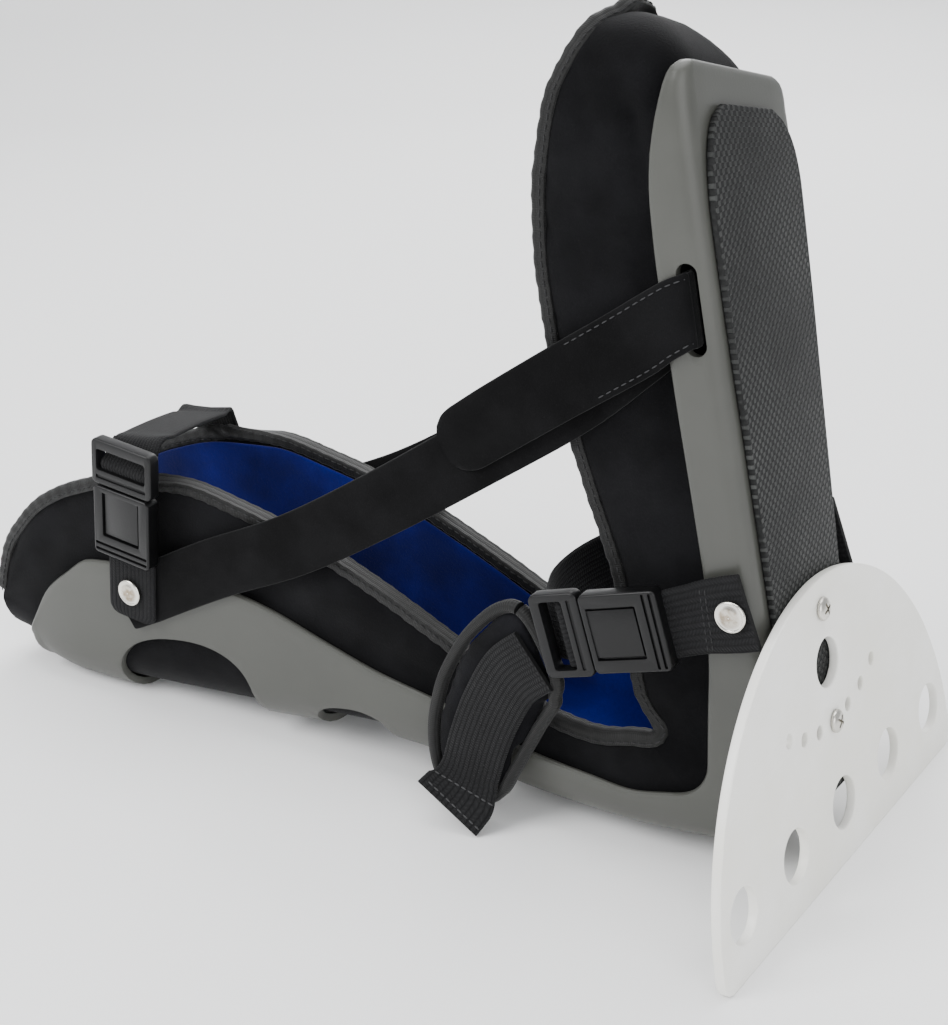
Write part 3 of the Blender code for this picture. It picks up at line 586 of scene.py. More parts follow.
def add_math(tree, operation, *values):
    """Math node whose inputs are sockets or plain numbers; gives its output socket."""
    node = tree.nodes.new("ShaderNodeMath")
    node.operation = operation
    for index, value in enumerate(values):
        feed(tree, value, node.inputs[index])
    return node.outputs[0]


def add_noise(tree, vector, scale, detail, roughness=0.5):
    """Noise node; gives its height as a socket."""
    node = tree.nodes.new("ShaderNodeTexNoise")
    tree.links.new(vector, node.inputs["Vector"])
    feed(tree, scale, node.inputs["Scale"])
    node.inputs["Detail"].default_value = detail
    node.inputs["Roughness"].default_value = roughness
    return node.outputs["Fac"]


def group_ends(group):
    """Sockets that come into a node group and go out of it."""
    return group.nodes["into"].outputs, group.nodes["out"].inputs


def make_grain_group():
    """Fine mould grain and a slow drift of tone over a moulded or rubbed surface."""
    group = new_group("mould_grain", (("Grain Scale", 1500.0), ("Drift Scale", 18.0)), ("Grain", "Drift"))
    place = group.nodes.new("ShaderNodeTexCoord").outputs["Object"]
    into, out = group_ends(group)
    group.links.new(add_noise(group, place, into["Grain Scale"], 3.0), out["Grain"])
    group.links.new(add_noise(group, place, into["Drift Scale"], 4.0, 0.6), out["Drift"])
    return group


def make_webbing_group():
    """Woven ribs along a band, with yarns that slant the other way on each next rib, and a painted shade that
    darkens the grooves and lightens the crests.
    """
    group = new_group("webbing_ribs", (("Rib Pitch", 0.002), ("Yarn Pitch", 0.0011), ("Slant", 0.7)),
                      ("Height", "Shade"))
    into, out = group_ends(group)
    split = group.nodes.new("ShaderNodeSeparateXYZ")
    group.links.new(group.nodes.new("ShaderNodeTexCoord").outputs["UV"], split.inputs[0])
    ribs = add_math(group, "DIVIDE", split.outputs["Y"], into["Rib Pitch"])
    within = add_math(group, "FRACT", ribs)
    index = add_math(group, "FLOOR", ribs)
    turn = add_math(group, "MULTIPLY", add_math(group, "PINGPONG", index, 1.0), 2.0)
    turn = add_math(group, "SUBTRACT", turn, 1.0)
    slant = add_math(group, "MULTIPLY", add_math(group, "MULTIPLY", within, into["Slant"]), turn)
    yarn = add_math(group, "ADD", add_math(group, "DIVIDE", split.outputs["X"], into["Yarn Pitch"]), slant)
    wave = add_math(group, "SINE", add_math(group, "MULTIPLY", yarn, 2 * math.pi))
    ridge = add_math(group, "SINE", add_math(group, "MULTIPLY", within, math.pi))
    ridge = add_math(group, "POWER", ridge, 0.6)
    lifted = add_math(group, "MULTIPLY_ADD", wave, 0.22, 0.78)
    height = add_math(group, "MULTIPLY", ridge, lifted)
    group.links.new(height, out["Height"])
    # Painted shade: darker in the grooves between ribs, lighter on their crests
    group.links.new(add_math(group, "MULTIPLY_ADD", height, 0.75, 0.25), out["Shade"])
    return group


def make_nap_group():
    """Brushed nap: short fibre and slow patches where the pile lies another way."""
    group = new_group("brushed_nap", (("Fibre Scale", 900.0), ("Patch Scale", 30.0)), ("Fibre", "Patch"))
    place = group.nodes.new("ShaderNodeTexCoord").outputs["Object"]
    into, out = group_ends(group)
    group.links.new(add_noise(group, place, into["Fibre Scale"], 5.0, 0.7), out["Fibre"])
    group.links.new(add_noise(group, place, into["Patch Scale"], 3.0, 0.55), out["Patch"])
    return group


def make_check_group():
    """Small raised checks in staggered rows, for the printed tread."""
    group = new_group("tread_checks", (("Check Pitch", 0.0036),), ("Height", "Top"))
    into, out = group_ends(group)
    split = group.nodes.new("ShaderNodeSeparateXYZ")
    group.links.new(group.nodes.new("ShaderNodeTexCoord").outputs["UV"], split.inputs[0])
    waves = []
    for axis in ("X", "Y"):
        turns = add_math(group, "DIVIDE", split.outputs[axis], into["Check Pitch"])
        waves.append(add_math(group, "SINE", add_math(group, "MULTIPLY", turns, 2 * math.pi)))
    product = add_math(group, "MULTIPLY", waves[0], waves[1])
    height = stretch(group, product, -0.25, 0.45)
    group.links.new(height, out["Height"])
    group.links.new(add_math(group, "POWER", height, 3.0), out["Top"])
    return group


EFFECTS = {}


def effect(tree, name, **values):
    """Place a shared effect in a material with its own values."""
    makers = {"mould_grain": make_grain_group, "webbing_ribs": make_webbing_group,
              "brushed_nap": make_nap_group, "tread_checks": make_check_group}
    if name not in EFFECTS:
        EFFECTS[name] = makers[name]()
    node = tree.nodes.new("ShaderNodeGroup")
    node.node_tree = EFFECTS[name]
    for label, value in values.items():
        node.inputs[label.replace("_", " ")].default_value = value
    return node.outputs


def start_material(name, roughness, metallic=0.0, shine=0.5):
    """Material with one plain shader; gives it with its tree and shader."""
    material = bpy.data.materials.new(name)
    material.use_nodes = True
    shader = material.node_tree.nodes["Principled BSDF"]
    shader.inputs["Specular IOR Level"].default_value = shine
    shader.inputs["Roughness"].default_value = roughness
    shader.inputs["Metallic"].default_value = metallic
    return material, material.node_tree, shader


def tint(tree, shader, low, high, mask):
    """Base colour between two tones by a mask."""
    mix = tree.nodes.new("ShaderNodeMix")
    mix.data_type = "RGBA"
    mix.inputs["A"].default_value = (*low, 1.0)
    mix.inputs["B"].default_value = (*high, 1.0)
    tree.links.new(mask, mix.inputs["Factor"])
    tree.links.new(mix.outputs["Result"], shader.inputs["Base Color"])


def vary_roughness(tree, shader, mask, low, high):
    """Let a mask move the roughness between low and high."""
    tree.links.new(add_math(tree, "MULTIPLY_ADD", mask, high - low, low), shader.inputs["Roughness"])


def relief(tree, shader, height, depth, under=None):
    """Bump of a height mask, depth in metres, over an earlier bump if there is one."""
    bump = tree.nodes.new("ShaderNodeBump")
    bump.inputs["Distance"].default_value = depth
    tree.links.new(height, bump.inputs["Height"])
    if under:
        tree.links.new(under.outputs["Normal"], bump.inputs["Normal"])
    tree.links.new(bump.outputs["Normal"], shader.inputs["Normal"])
    return bump


def stretch(tree, mask, low, high):
    """Spread the part of a mask between two values over the whole range."""
    node = tree.nodes.new("ShaderNodeMapRange")
    node.interpolation_type = "SMOOTHSTEP"
    node.inputs["From Min"].default_value = low
    node.inputs["From Max"].default_value = high
    tree.links.new(mask, node.inputs["Value"])
    return node.outputs["Result"]


def moulded(name, colour, worn, roughness, grain=0.00004, grain_scale=1500.0, shine=0.4):
    """Injection-moulded plastic with fine grain and a slow drift of tone."""
    material, tree, shader = start_material(name, roughness, 0.0, shine)
    out = effect(tree, "mould_grain", Grain_Scale=grain_scale, Drift_Scale=16.0)
    drift = stretch(tree, out["Drift"], 0.35, 0.68)
    tint(tree, shader, colour, worn, drift)
    vary_roughness(tree, shader, drift, roughness - 0.05, roughness + 0.07)
    relief(tree, shader, out["Grain"], grain)
    return material


def webbing(name, colour, raised, rib=0.0019, yarn=0.0012, slant=0.8, depth=0.00035):
    """Woven webbing: ribs, slanting yarns, a dull sheen, and painted shade in the base colour that darkens
    the rib grooves and lightens the rib crests.
    """
    material, tree, shader = start_material(name, 0.78, 0.0, 0.09)
    shader.inputs["Sheen Weight"].default_value = 0.04
    shader.inputs["Sheen Roughness"].default_value = 0.5
    ribs = effect(tree, "webbing_ribs", Rib_Pitch=rib, Yarn_Pitch=yarn, Slant=slant)
    nap = effect(tree, "brushed_nap", Fibre_Scale=1600.0, Patch_Scale=45.0)
    # Painted shade and highlight: the raised colour goes on the rib crests and the dark colour in the
    # grooves, over random nap patches
    shade = add_math(tree, "MULTIPLY", ribs["Shade"], add_math(tree, "MULTIPLY_ADD", nap["Patch"], 0.8, 0.4))
    tint(tree, shader, colour, raised, shade)
    fuzz = relief(tree, shader, nap["Fibre"], 0.00012)
    relief(tree, shader, ribs["Height"], depth, under=fuzz)
    return material


def sewing_thread(name, colour, raised):
    """Twisted thread of the stitches."""
    return webbing(name, colour, raised, 0.0006, 0.0006, 0.4, 0.00005)


def napped(name, dark, light, fibre=0.00022, fibre_scale=1100.0, patch=26.0, sheen=0.06, roughness=0.9):
    """Brushed or napped cloth over foam."""
    material, tree, shader = start_material(name, roughness, 0.0, 0.06)
    shader.inputs["Sheen Weight"].default_value = sheen
    shader.inputs["Sheen Roughness"].default_value = 0.45
    nap = effect(tree, "brushed_nap", Fibre_Scale=fibre_scale, Patch_Scale=patch)
    shade = add_math(tree, "MULTIPLY", stretch(tree, nap["Patch"], 0.3, 0.72),
                     add_math(tree, "MULTIPLY_ADD", nap["Fibre"], 1.0, 0.35))
    tint(tree, shader, dark, light, shade)
    relief(tree, shader, nap["Fibre"], fibre)
    return material


def tread_rubber(name):
    """Rubber with a raised check."""
    material, tree, shader = start_material(name, 0.62, 0.0, 0.22)
    checks = effect(tree, "tread_checks", Check_Pitch=0.0036)
    grain = effect(tree, "mould_grain", Grain_Scale=900.0, Drift_Scale=22.0)
    mask = add_math(tree, "MULTIPLY", checks["Top"], stretch(tree, grain["Drift"], 0.2, 0.75))
    tint(tree, shader, (0.007, 0.0073, 0.0073), (0.048, 0.050, 0.048), mask)
    fine = relief(tree, shader, grain["Grain"], 0.00008)
    relief(tree, shader, checks["Height"], 0.0006, under=fine)
    return material


def plated(name, colour, roughness):
    """Bright nickel with faint handling marks."""
    material, tree, shader = start_material(name, roughness, 1.0)
    out = effect(tree, "mould_grain", Grain_Scale=420.0, Drift_Scale=160.0)
    drift = stretch(tree, out["Drift"], 0.3, 0.7)
    tint(tree, shader, colour, tuple(0.82 * c for c in colour), drift)
    vary_roughness(tree, shader, drift, roughness - 0.04, roughness + 0.10)
    relief(tree, shader, out["Grain"], 0.00002)
    return material


def rivet_metal(name):
    """Nickel with a painted reflection in its base colour: bright at the rolled rim, and a darker, warmer
    brown over the crown that is broken by streaks.
    """
    material, tree, shader = start_material(name, 0.20, 1.0)
    split = tree.nodes.new("ShaderNodeSeparateXYZ")
    tree.links.new(tree.nodes.new("ShaderNodeTexCoord").outputs["UV"], split.inputs[0])
    # Painted reflection: bright base colour near the rim, warm brown towards the middle of the cap
    crown = stretch(tree, split.outputs["X"], 0.0028, 0.0046)
    out = effect(tree, "mould_grain", Grain_Scale=300.0, Drift_Scale=210.0)
    painted_reflection_streak = stretch(tree, out["Drift"], 0.42, 0.62)
    tint(tree, shader, (0.74, 0.72, 0.66), (0.30, 0.24, 0.17),
         add_math(tree, "MULTIPLY", crown, add_math(tree, "MULTIPLY_ADD", painted_reflection_streak, 0.6, 0.4)))
    relief(tree, shader, out["Grain"], 0.00002)
    return material


def binding_tape(name):
    """Woven edging tape: fine ribs across its run, a satin face, and a painted highlight on the rib crests
    with painted shade in the grooves.
    """
    material, tree, shader = start_material(name, 0.52, 0.0, 0.20)
    shader.inputs["Sheen Weight"].default_value = 0.08
    shader.inputs["Sheen Roughness"].default_value = 0.4
    ribs = effect(tree, "webbing_ribs", Rib_Pitch=0.0030, Yarn_Pitch=0.0008, Slant=0.0)
    nap = effect(tree, "brushed_nap", Fibre_Scale=1300.0, Patch_Scale=60.0)
    # Painted highlight on the rib crests and painted shade in the grooves, over random nap patches
    shade = add_math(tree, "MULTIPLY", nap["Patch"], add_math(tree, "MULTIPLY_ADD", ribs["Height"], 0.7, 0.4))
    tint(tree, shader, (0.003, 0.003, 0.003), (0.019, 0.019, 0.0185), shade)
    fuzz = relief(tree, shader, nap["Fibre"], 0.00008)
    relief(tree, shader, ribs["Height"], 0.00022, under=fuzz)
    return material


# Settings that a user may change

class SplintSettings(bpy.types.PropertyGroup):
    shell_wall: bpy.props.FloatProperty(
        name="Shell Wall", description="Thickness of the moulded shell",
        default=SHELL_WALL, unit="LENGTH")
    shell_colour: bpy.props.FloatVectorProperty(
        name="Shell Colour", description="Warm grey of the moulded shell",
        default=(0.052, 0.053, 0.047), size=3, subtype="COLOR")
    plate_colour: bpy.props.FloatVectorProperty(
        name="Plate Colour", description="White of the half-round plate",
        default=(0.86, 0.855, 0.82), size=3, subtype="COLOR")
    lining_colour: bpy.props.FloatVectorProperty(
        name="Lining Colour", description="Royal blue of the pile lining",
        default=(0.0020, 0.008, 0.17), size=3, subtype="COLOR")
    strap_thickness: bpy.props.FloatProperty(
        name="Strap Thickness", description="Thickness of straps and webbing",
        default=0.0019, unit="LENGTH")
    strap_width: bpy.props.FloatProperty(
        name="Strap Width", description="Width of straps and webbing",
        default=0.026, unit="LENGTH")
    padding_swell: bpy.props.FloatProperty(
        name="Padding Swell", description="Most that the padding may swell when it is filled",
        default=0.0030, unit="LENGTH")
    lamp_power: bpy.props.FloatProperty(
        name="Lamp Power", description="Power of the main studio lamp",
        default=34.0, unit="POWER")


def settings():
    """The scene's own sizes."""
    return bpy.context.scene.splint_settings


# Shell, tread, plate and screws

def shell_sections(wall):
    """U-shaped sections of the shell, from the toes round the heel to the calf."""
    sections = []
    ends = ((0.0, 0.44), (0.30, 0.20), (0.75, 0.06), (1.4, 0.0))
    levels = [(FOOT_LENGTH - share * wall, thin) for share, thin in ends]
    levels += [(z, 0.0) for z in spread(FOOT_LENGTH - 2.4 * wall, FOOT[0][0] * FOOT_LENGTH, 46)]
    for z, thin in levels:
        share = z / FOOT_LENGTH
        depth = FOOT_WALL * smooth_at(FOOT, share, 1)
        half = FOOT_HALF * smooth_at(FOOT, share, 2)
        shape = u_section(half, half + 0.0005, depth, FOOT_CORNER, wall, thin * wall)
        sections.append(stand(shape, (SOLE_X, z), (SOLE_X - depth, z)))
    fan = heel_fan(0.0, (SOLE_X - 0.043, HEEL_DROP + 0.036), 0.014, 18)
    for k, (foot, rim) in enumerate(fan[1:-1]):
        t = (k + 1) / (len(fan) - 1)
        half = lerp(FOOT[0][2] * FOOT_HALF, CALF[0][3] * CALF_HALF, t)
        depth = math.hypot(rim[0] - foot[0], rim[1] - foot[1])
        corner = lerp(FOOT_CORNER, CALF_CORNER * 0.7, t)
        sections.append(stand(u_section(half, half + 0.0005, depth, corner, wall), foot, rim))
    low = CALF[0][0] * CALF_LENGTH
    high = CALF[-1][0] * CALF_LENGTH
    reaches = [(x, 0.0) for x in spread(low, high - 2.0 * wall, 84)]
    reaches += [(high - share * wall, thin) for share, thin in reversed(ends)]
    for reach, thin in reaches:
        share = reach / CALF_LENGTH
        foot = (-reach, calf_under(reach))
        rim = (-reach, CALF_RIM * smooth_at(CALF, share, 2))
        half = calf_half(reach)
        corner = CALF_CORNER * min(1.0, 0.7 + 1.2 * (share - CALF[0][0]))
        shape = u_section(half, half + 0.0005, rim[1] - foot[1], corner, wall, thin * wall)
        sections.append(stand(shape, foot, rim))
    return sections


def window_outline(centre, half, top, drop):
    """Arch over a window: its straight jambs and a smooth crown."""
    middle = -centre * CALF_LENGTH
    reach = half * CALF_LENGTH
    crown = top * CALF_RIM
    shoulder = crown - drop
    points = [(middle - reach - 0.001, -0.02), (middle + reach + 0.001, -0.02)]
    for k in range(0, 33):
        angle = math.pi * k / 32
        bulge = abs(math.cos(angle)) ** 0.88
        points.append((middle + math.copysign(reach * bulge, math.cos(angle)),
                       shoulder + drop * math.sin(angle) ** 0.95))
    return points


class SPLINT_OT_shell(bpy.types.Operator):
    """Build the moulded shell with its windows and strap slots"""
    bl_idname = "splint.shell"
    bl_label = "Shell"

    def execute(self, context):
        wall = settings().shell_wall
        material = moulded("shell_plastic", tuple(settings().shell_colour),
                           tuple(1.16 * c for c in settings().shell_colour), 0.40)
        bm = skin(shell_sections(wall))
        shell = finish_mesh("shell_body", bm, material, toes=True)
        cutters = [prism_cutter(window_outline(0.752, 0.100, 0.700, 0.022), -0.07, 0.07, "Y"),
                   prism_cutter(window_outline(0.524, 0.050, 0.492, 0.010), -0.07, 0.07, "Y")]
        for side in (-1, 1):
            slot = [(SLOT_X + x, SLOT_HEIGHT + z) for x, z in rounded_box(0.0074, 0.032, 0.0036, 8)]
            low, high = sorted((side * 0.05, side * 0.0315))
            cutters.append(prism_cutter(slot, low, high, "Y"))
        for cutter in cutters:
            cutter.data.transform(TO_WORLD)
        cut_away(shell, cutters)
        ease_edges(shell, 0.0007, 2, 50.0)
        hand_over(shell, "shell")
        return {"FINISHED"}


class SPLINT_OT_tread(bpy.types.Operator):
    """Build the printed tread on the sole"""
    bl_idname = "splint.tread"
    bl_label = "Tread"

    def execute(self, context):
        rows = ((0.026, 0.60), (0.034, 0.76), (0.110, 0.85), (0.170, 0.92), (0.215, 0.98),
                (0.250, 1.0), (0.264, 0.955), (0.274, 0.86), (0.281, 0.70), (0.2845, 0.52))
        levels = spread(rows[0][0], rows[-1][0], 70)
        side = [(0.0325 * smooth_at(rows, z, 1), z) for z in levels]
        outline = side + [(-y, z) for y, z in reversed(side)]
        bm = flat_piece("tread", outline, [], SOLE_X + SEAT, SOLE_X + SEAT + 0.0024, 0.0006)
        turn_flat(bm)
        face_uv(bm, 1, 2)
        tread = finish_mesh("tread_skin", bm, tread_rubber("tread_rubber"), toes=True)
        hand_over(tread, "tread_pad")
        return {"FINISHED"}


def plate_outline():
    """Half-round outline of the plate with eased corners."""
    points = []
    tip = 0.006
    for k in range(9):
        angle = math.radians(-90 + 90 * k / 8)
        points.append((PLATE_HALF - tip + tip * math.cos(angle), tip + tip * math.sin(angle)))
    power = 2 / 1.93
    for k in range(1, 80):
        angle = 0.5 * math.pi * k / 80
        points.append((PLATE_HALF * math.cos(angle) ** power,
                       tip + (PLATE_HEIGHT - tip) * math.sin(angle) ** power))
    return points + [(0.0, PLATE_HEIGHT)] + [(-y, z) for y, z in reversed(points)]


class SPLINT_OT_plate(bpy.types.Operator):
    """Build the half-round white plate with its holes"""
    bl_idname = "splint.plate"
    bl_label = "Plate"

    def execute(self, context):
        holes = [circle((k * 0.042, 0.023), 0.010, 64) for k in range(-2, 3)]
        holes.append(circle((0, 0.080), 0.00925, 64))
        for k in range(-3, 4):
            angle = math.radians(k * 9.3)
            rise = ARC_RADIUS * (1 - math.cos(angle))
            holes.append(circle((ARC_RADIUS * math.sin(angle), ARC_LEVEL + rise), 0.0026, 28))
        holes.append(circle((0, 0.101), 0.0026, 28))
        bm = flat_piece("plate", plate_outline(), holes, -PLATE_THICK, 0.0, 0.0007)
        turn_flat(bm)
        for vertex in bm.verts:
            vertex.co.z = max(vertex.co.z, -vertex.co.x * math.tan(LEAN))
        face_uv(bm, 1, 2)
        colour = tuple(settings().plate_colour)
        material = moulded("plate_plastic", colour, (0.80, 0.79, 0.73), 0.34, 0.00002, 700.0)
        plate = finish_mesh("plate_body", bm, material, 30.0)
        hand_over(plate, "rotation_plate")
        return {"FINISHED"}


class SPLINT_OT_screws(bpy.types.Operator):
    """Build the two cross-head screws through the plate"""
    bl_idname = "splint.screws"
    bl_label = "Screws"

    def execute(self, context):
        material = plated("screw_nickel", (0.62, 0.60, 0.55), 0.26)
        profile = ((SOLE_X - 0.0026, 0.0021), (SEAT, 0.0021), (SEAT, 0.0043), (SEAT + 0.0003, 0.0044),
                   (SEAT + 0.0009, 0.0043), (SEAT + 0.0015, 0.0037), (SEAT + 0.0020, 0.0026),
                   (SEAT + 0.0022, 0.0012))
        for name, level, turn in (("upper", 0.101, 20), ("lower", ARC_LEVEL, 52)):
            sections = [[(x, y, level + z) for y, z in circle((0, 0), radius, 40)] for x, radius in profile]
            screw = finish_mesh("screw_" + name, skin(sections), material, 50.0)
            cutters = []
            for degrees in (turn, turn + 90):
                angle = math.radians(degrees)
                c = math.cos(angle)
                s = math.sin(angle)
                blade = [(y * c - z * s, level + y * s + z * c)
                         for y, z in rounded_box(0.0052, 0.0010, 0.0003, 2)]
                cutter = prism_cutter(blade, SEAT + 0.0008, 0.006, "X")
                cutter.data.transform(TO_WORLD)
                cutters.append(cutter)
            cut_away(screw, cutters)
            shade(screw, 40)
            hand_over(screw, "plate_screw_" + name)
        return {"FINISHED"}


# Liner, lining and bound edge

def liner_stations(extra, trim, end_trim):
    """Stations round the liner: foot point, rim point, half width, rim half width, corner."""
    stations = []
    base = SOLE_X - SHELL_WALL - SEAT
    top = LINER_FOOT[-1][0] if not extra else 1.035
    for share in spread(top, LINER_FOOT[0][0], 88):
        z = share * FOOT_LENGTH
        foot = (base - smooth_at(LINER_FOOT, share, 1) * LINER_WING - extra, z)
        rim = (SOLE_X - smooth_at(LINER_FOOT, share, 2) * LINER_WING + trim, z)
        half = smooth_at(LINER_FOOT, share, 3) * FOOT_HALF - extra
        stations.append((foot, rim, half, half + 0.0002, 0.016 - extra))
    centre = (-0.0600 + 0.7 * trim, 0.0605 - 0.7 * trim)
    first = LINER_FOOT[0][3] * FOOT_HALF - extra
    last = calf_half(CALF[0][0] * CALF_LENGTH) - SHELL_WALL - SEAT - extra
    fan = heel_fan(SHELL_WALL + SEAT + extra, centre, 0.0045, 22)
    for k, (foot, rim) in enumerate(fan[1:-1]):
        half = lerp(first, last, (k + 1) / (len(fan) - 1))
        stations.append((foot, rim, half, half + 0.0002, 0.0165 - extra))
    for share in spread(LINER_CALF[0][0], LINER_CALF[-1][0], 104):
        x = -min(share * LINER_END, LINER_END - end_trim)
        if stations[-1][0][0] - x < 0.0004:
            continue
        foot = (x, calf_under(-x) + SHELL_WALL + 2 * SEAT + extra)
        rim = (x, smooth_at(LINER_CALF, share, 1) * LINER_RIM - trim)
        half = calf_half(-x) - SHELL_WALL - SEAT - extra
        stations.append((foot, rim, half, half * smooth_at(LINER_CALF, share, 2), 0.0185 - extra))
    return stations


def liner_mesh(stations, wall):
    """Open trough of padding of one thickness along the liner's stations."""
    sections = []
    for foot, rim, half, rim_half, corner in stations:
        depth = math.hypot(rim[0] - foot[0], rim[1] - foot[1])
        sections.append(stand(u_section(half, rim_half, depth, corner, wall, 0.0, 7, 12, 10), foot, rim))
    return skin(sections)


def shell_cover(point):
    """How far a point of the sole frame lies above the shell's rim, in metres."""
    if point.z > FOOT[0][0] * FOOT_LENGTH and point.x > -0.085:
        wall = FOOT_WALL * smooth_at(FOOT, min(point.z / FOOT_LENGTH, 1.0), 1)
        above = SOLE_X - wall - point.x
        return max(above, point.z - FOOT_LENGTH)
    if point.x < -0.075:
        reach = min(-point.x, CALF_LENGTH)
        above = point.z - CALF_RIM * smooth_at(CALF, reach / CALF_LENGTH, 2)
        return max(above, -point.x - CALF_LENGTH)
    return -0.01


def swell(obj, limit, weight_of, cap_of):
    """Blow padding up as cloth held where weight_of says, with its moves capped, and keep the result."""
    rest = [vertex.co.copy() for vertex in obj.data.vertices]
    pins = obj.vertex_groups.new(name="held")
    for vertex in obj.data.vertices:
        pins.add([vertex.index], weight_of(vertex.co), "REPLACE")
    modifier = obj.modifiers.new("filling", "CLOTH")
    cloth = modifier.settings
    cloth.quality = 6
    cloth.mass = 0.25
    cloth.tension_stiffness = 18
    cloth.compression_stiffness = 18
    cloth.shear_stiffness = 8
    cloth.bending_stiffness = 0.6
    cloth.use_pressure = True
    cloth.uniform_pressure_force = 4.0
    cloth.effector_weights.gravity = 0.0
    cloth.vertex_group_mass = pins.name
    modifier.collision_settings.use_collision = False
    scene = bpy.context.scene
    for number in range(1, SWELL_FRAMES + 1):
        scene.frame_set(number)
    graph = bpy.context.evaluated_depsgraph_get()
    swollen = obj.evaluated_get(graph).to_mesh()
    moved = [vertex.co.copy() for vertex in swollen.vertices]
    obj.evaluated_get(graph).to_mesh_clear()
    obj.modifiers.clear()
    obj.vertex_groups.clear()
    scene.frame_set(1)
    for vertex, before, after in zip(obj.data.vertices, rest, moved):
        step = after - before
        most = min(limit, cap_of(before))
        if step.length > most:
            step = step.normalized() * most
        vertex.co = before + step
    obj.data.update()


def groove(point, line, width, depth):
    """Depth of a sewn or folded line near a point, by its distance in the side view."""
    best = 1.0
    for a, b in zip(line, line[1:]):
        ab = Vector(b) - Vector(a)
        ap = Vector((point.x, point.z)) - Vector(a)
        t = max(0.0, min(1.0, ap.dot(ab) / ab.dot(ab)))
        best = min(best, (ap - ab * t).length)
    return depth * math.exp(-(best / width) ** 2)


class SPLINT_OT_liner(bpy.types.Operator):
    """Build the padded liner and swell its walls above the shell"""
    bl_idname = "splint.liner"
    bl_label = "Liner"

    def execute(self, context):
        material = napped("liner_cloth", (0.0022, 0.0022, 0.0026), (0.0075, 0.0075, 0.0085))
        bm = liner_mesh(liner_stations(0.0, 0.0, 0.0), LINER_WALL)
        liner = finish_mesh("liner_body", bm, material, 60.0, toes=True)
        back = TO_WORLD.inverted()

        def outer_face(point):
            """Whether a point lies on the liner's outer face."""
            if point.x > -0.085 and point.z > 0.055:
                half = FOOT_HALF * 0.80
            else:
                half = calf_half(min(-point.x, CALF_LENGTH)) - SHELL_WALL - SEAT
            return abs(point.y) > half - 0.0022

        def held(co):
            """Share by which a point of the liner is held in the shell."""
            point = back @ co
            above = shell_cover(point)
            if above < 0.002 or not outer_face(point):
                return 1.0
            return max(0.0, 1.0 - (above - 0.002) / 0.010)

        def cap(co):
            """Largest move of a point, small beside the foot."""
            point = back @ co
            return 0.0011 if point.z > 0.13 and point.x > -0.09 else 1.0

        swell(liner, settings().padding_swell, held, cap)
        folds = (((-0.032, 0.287), (-0.003, 0.289)),
                 ((-0.032, 0.287), (-0.030, 0.266), (-0.026, 0.249)))
        for vertex in liner.data.vertices:
            point = back @ vertex.co
            if not outer_face(point):
                continue
            inward = -math.copysign(1.0, point.y)
            sunk = 0.0
            for line in folds:
                sunk += groove(point, line, 0.0022, 0.0019)
            sunk += 0.00045 * noise.noise(point * 55)
            point.y += inward * sunk
            vertex.co = TO_WORLD @ point
        hand_over(liner, "liner")
        return {"FINISHED"}


class SPLINT_OT_lining(bpy.types.Operator):
    """Build the royal blue pile lining"""
    bl_idname = "splint.lining"
    bl_label = "Lining"

    def execute(self, context):
        colour = tuple(settings().lining_colour)
        material = napped("lining_pile", tuple(0.30 * c for c in colour), colour,
                          0.00030, 800.0, 20.0, 0.12, 0.85)
        extra = LINER_WALL + 2 * SEAT
        bm = liner_mesh(liner_stations(extra, 0.0030, 0.003), LINING_WALL)
        lining = finish_mesh("lining_face", bm, material, 60.0, toes=True)
        for vertex in lining.data.vertices:
            co = vertex.co
            inward = 0.0007 * (noise.noise(co * 38) + 0.5 * noise.noise(co * 95))
            co.y -= math.copysign(max(inward, 0.0), co.y)
        hand_over(lining, "lining")
        return {"FINISHED"}


def rim_path():
    """Rim of the liner as one run: near knee end, heel, up and over the toes, and down the far side."""
    stations = liner_stations(0.0, 0.0, 0.0)
    near = [Vector((rim[0], -(wide - 0.5 * LINER_WALL), rim[1])) for _, rim, _, wide, _ in stations]
    far = [Vector((p.x, -p.y, p.z)) for p in near]
    tip = near[0]
    arch = []
    for k in range(1, 12):
        angle = math.pi * k / 12
        arch.append(Vector((tip.x + 0.001, tip.y * math.cos(angle), tip.z + 0.0042 * math.sin(angle))))
    return list(reversed(near)) + arch + far


def even_run(points, pitch):
    """Points at an even pitch along a run, smoothed a little."""
    out = [points[0]]
    left = pitch
    for a, b in zip(points, points[1:]):
        size = (b - a).length
        while left <= size:
            out.append(a.lerp(b, left / size))
            left += pitch
        left -= size
    for _ in range(3):
        inner = [(a + 2 * b + c) / 4 for a, b, c in zip(out, out[1:], out[2:])]
        out = [out[0]] + inner + [out[-1]]
    return out


def rim_out(point):
    """Which way the bound edge faces at a point of the rim."""
    if point.z > 0.290:
        share = min(1.0, (point.z - 0.290) / 0.024)
        return Vector((-1.0 + 0.35 * share, 0.0, 0.85 * share)).normalized()
    if point.z > 0.075:
        return Vector((-1.0, 0.0, 0.0))
    if point.x < -0.085:
        return Vector((0.0, 0.0, 1.0))
    share = max(0.0, min(1.0, (point.z - 0.055) / 0.020))
    return Vector((-share - 0.25, 0.0, 1.0 - share + 0.25)).normalized()


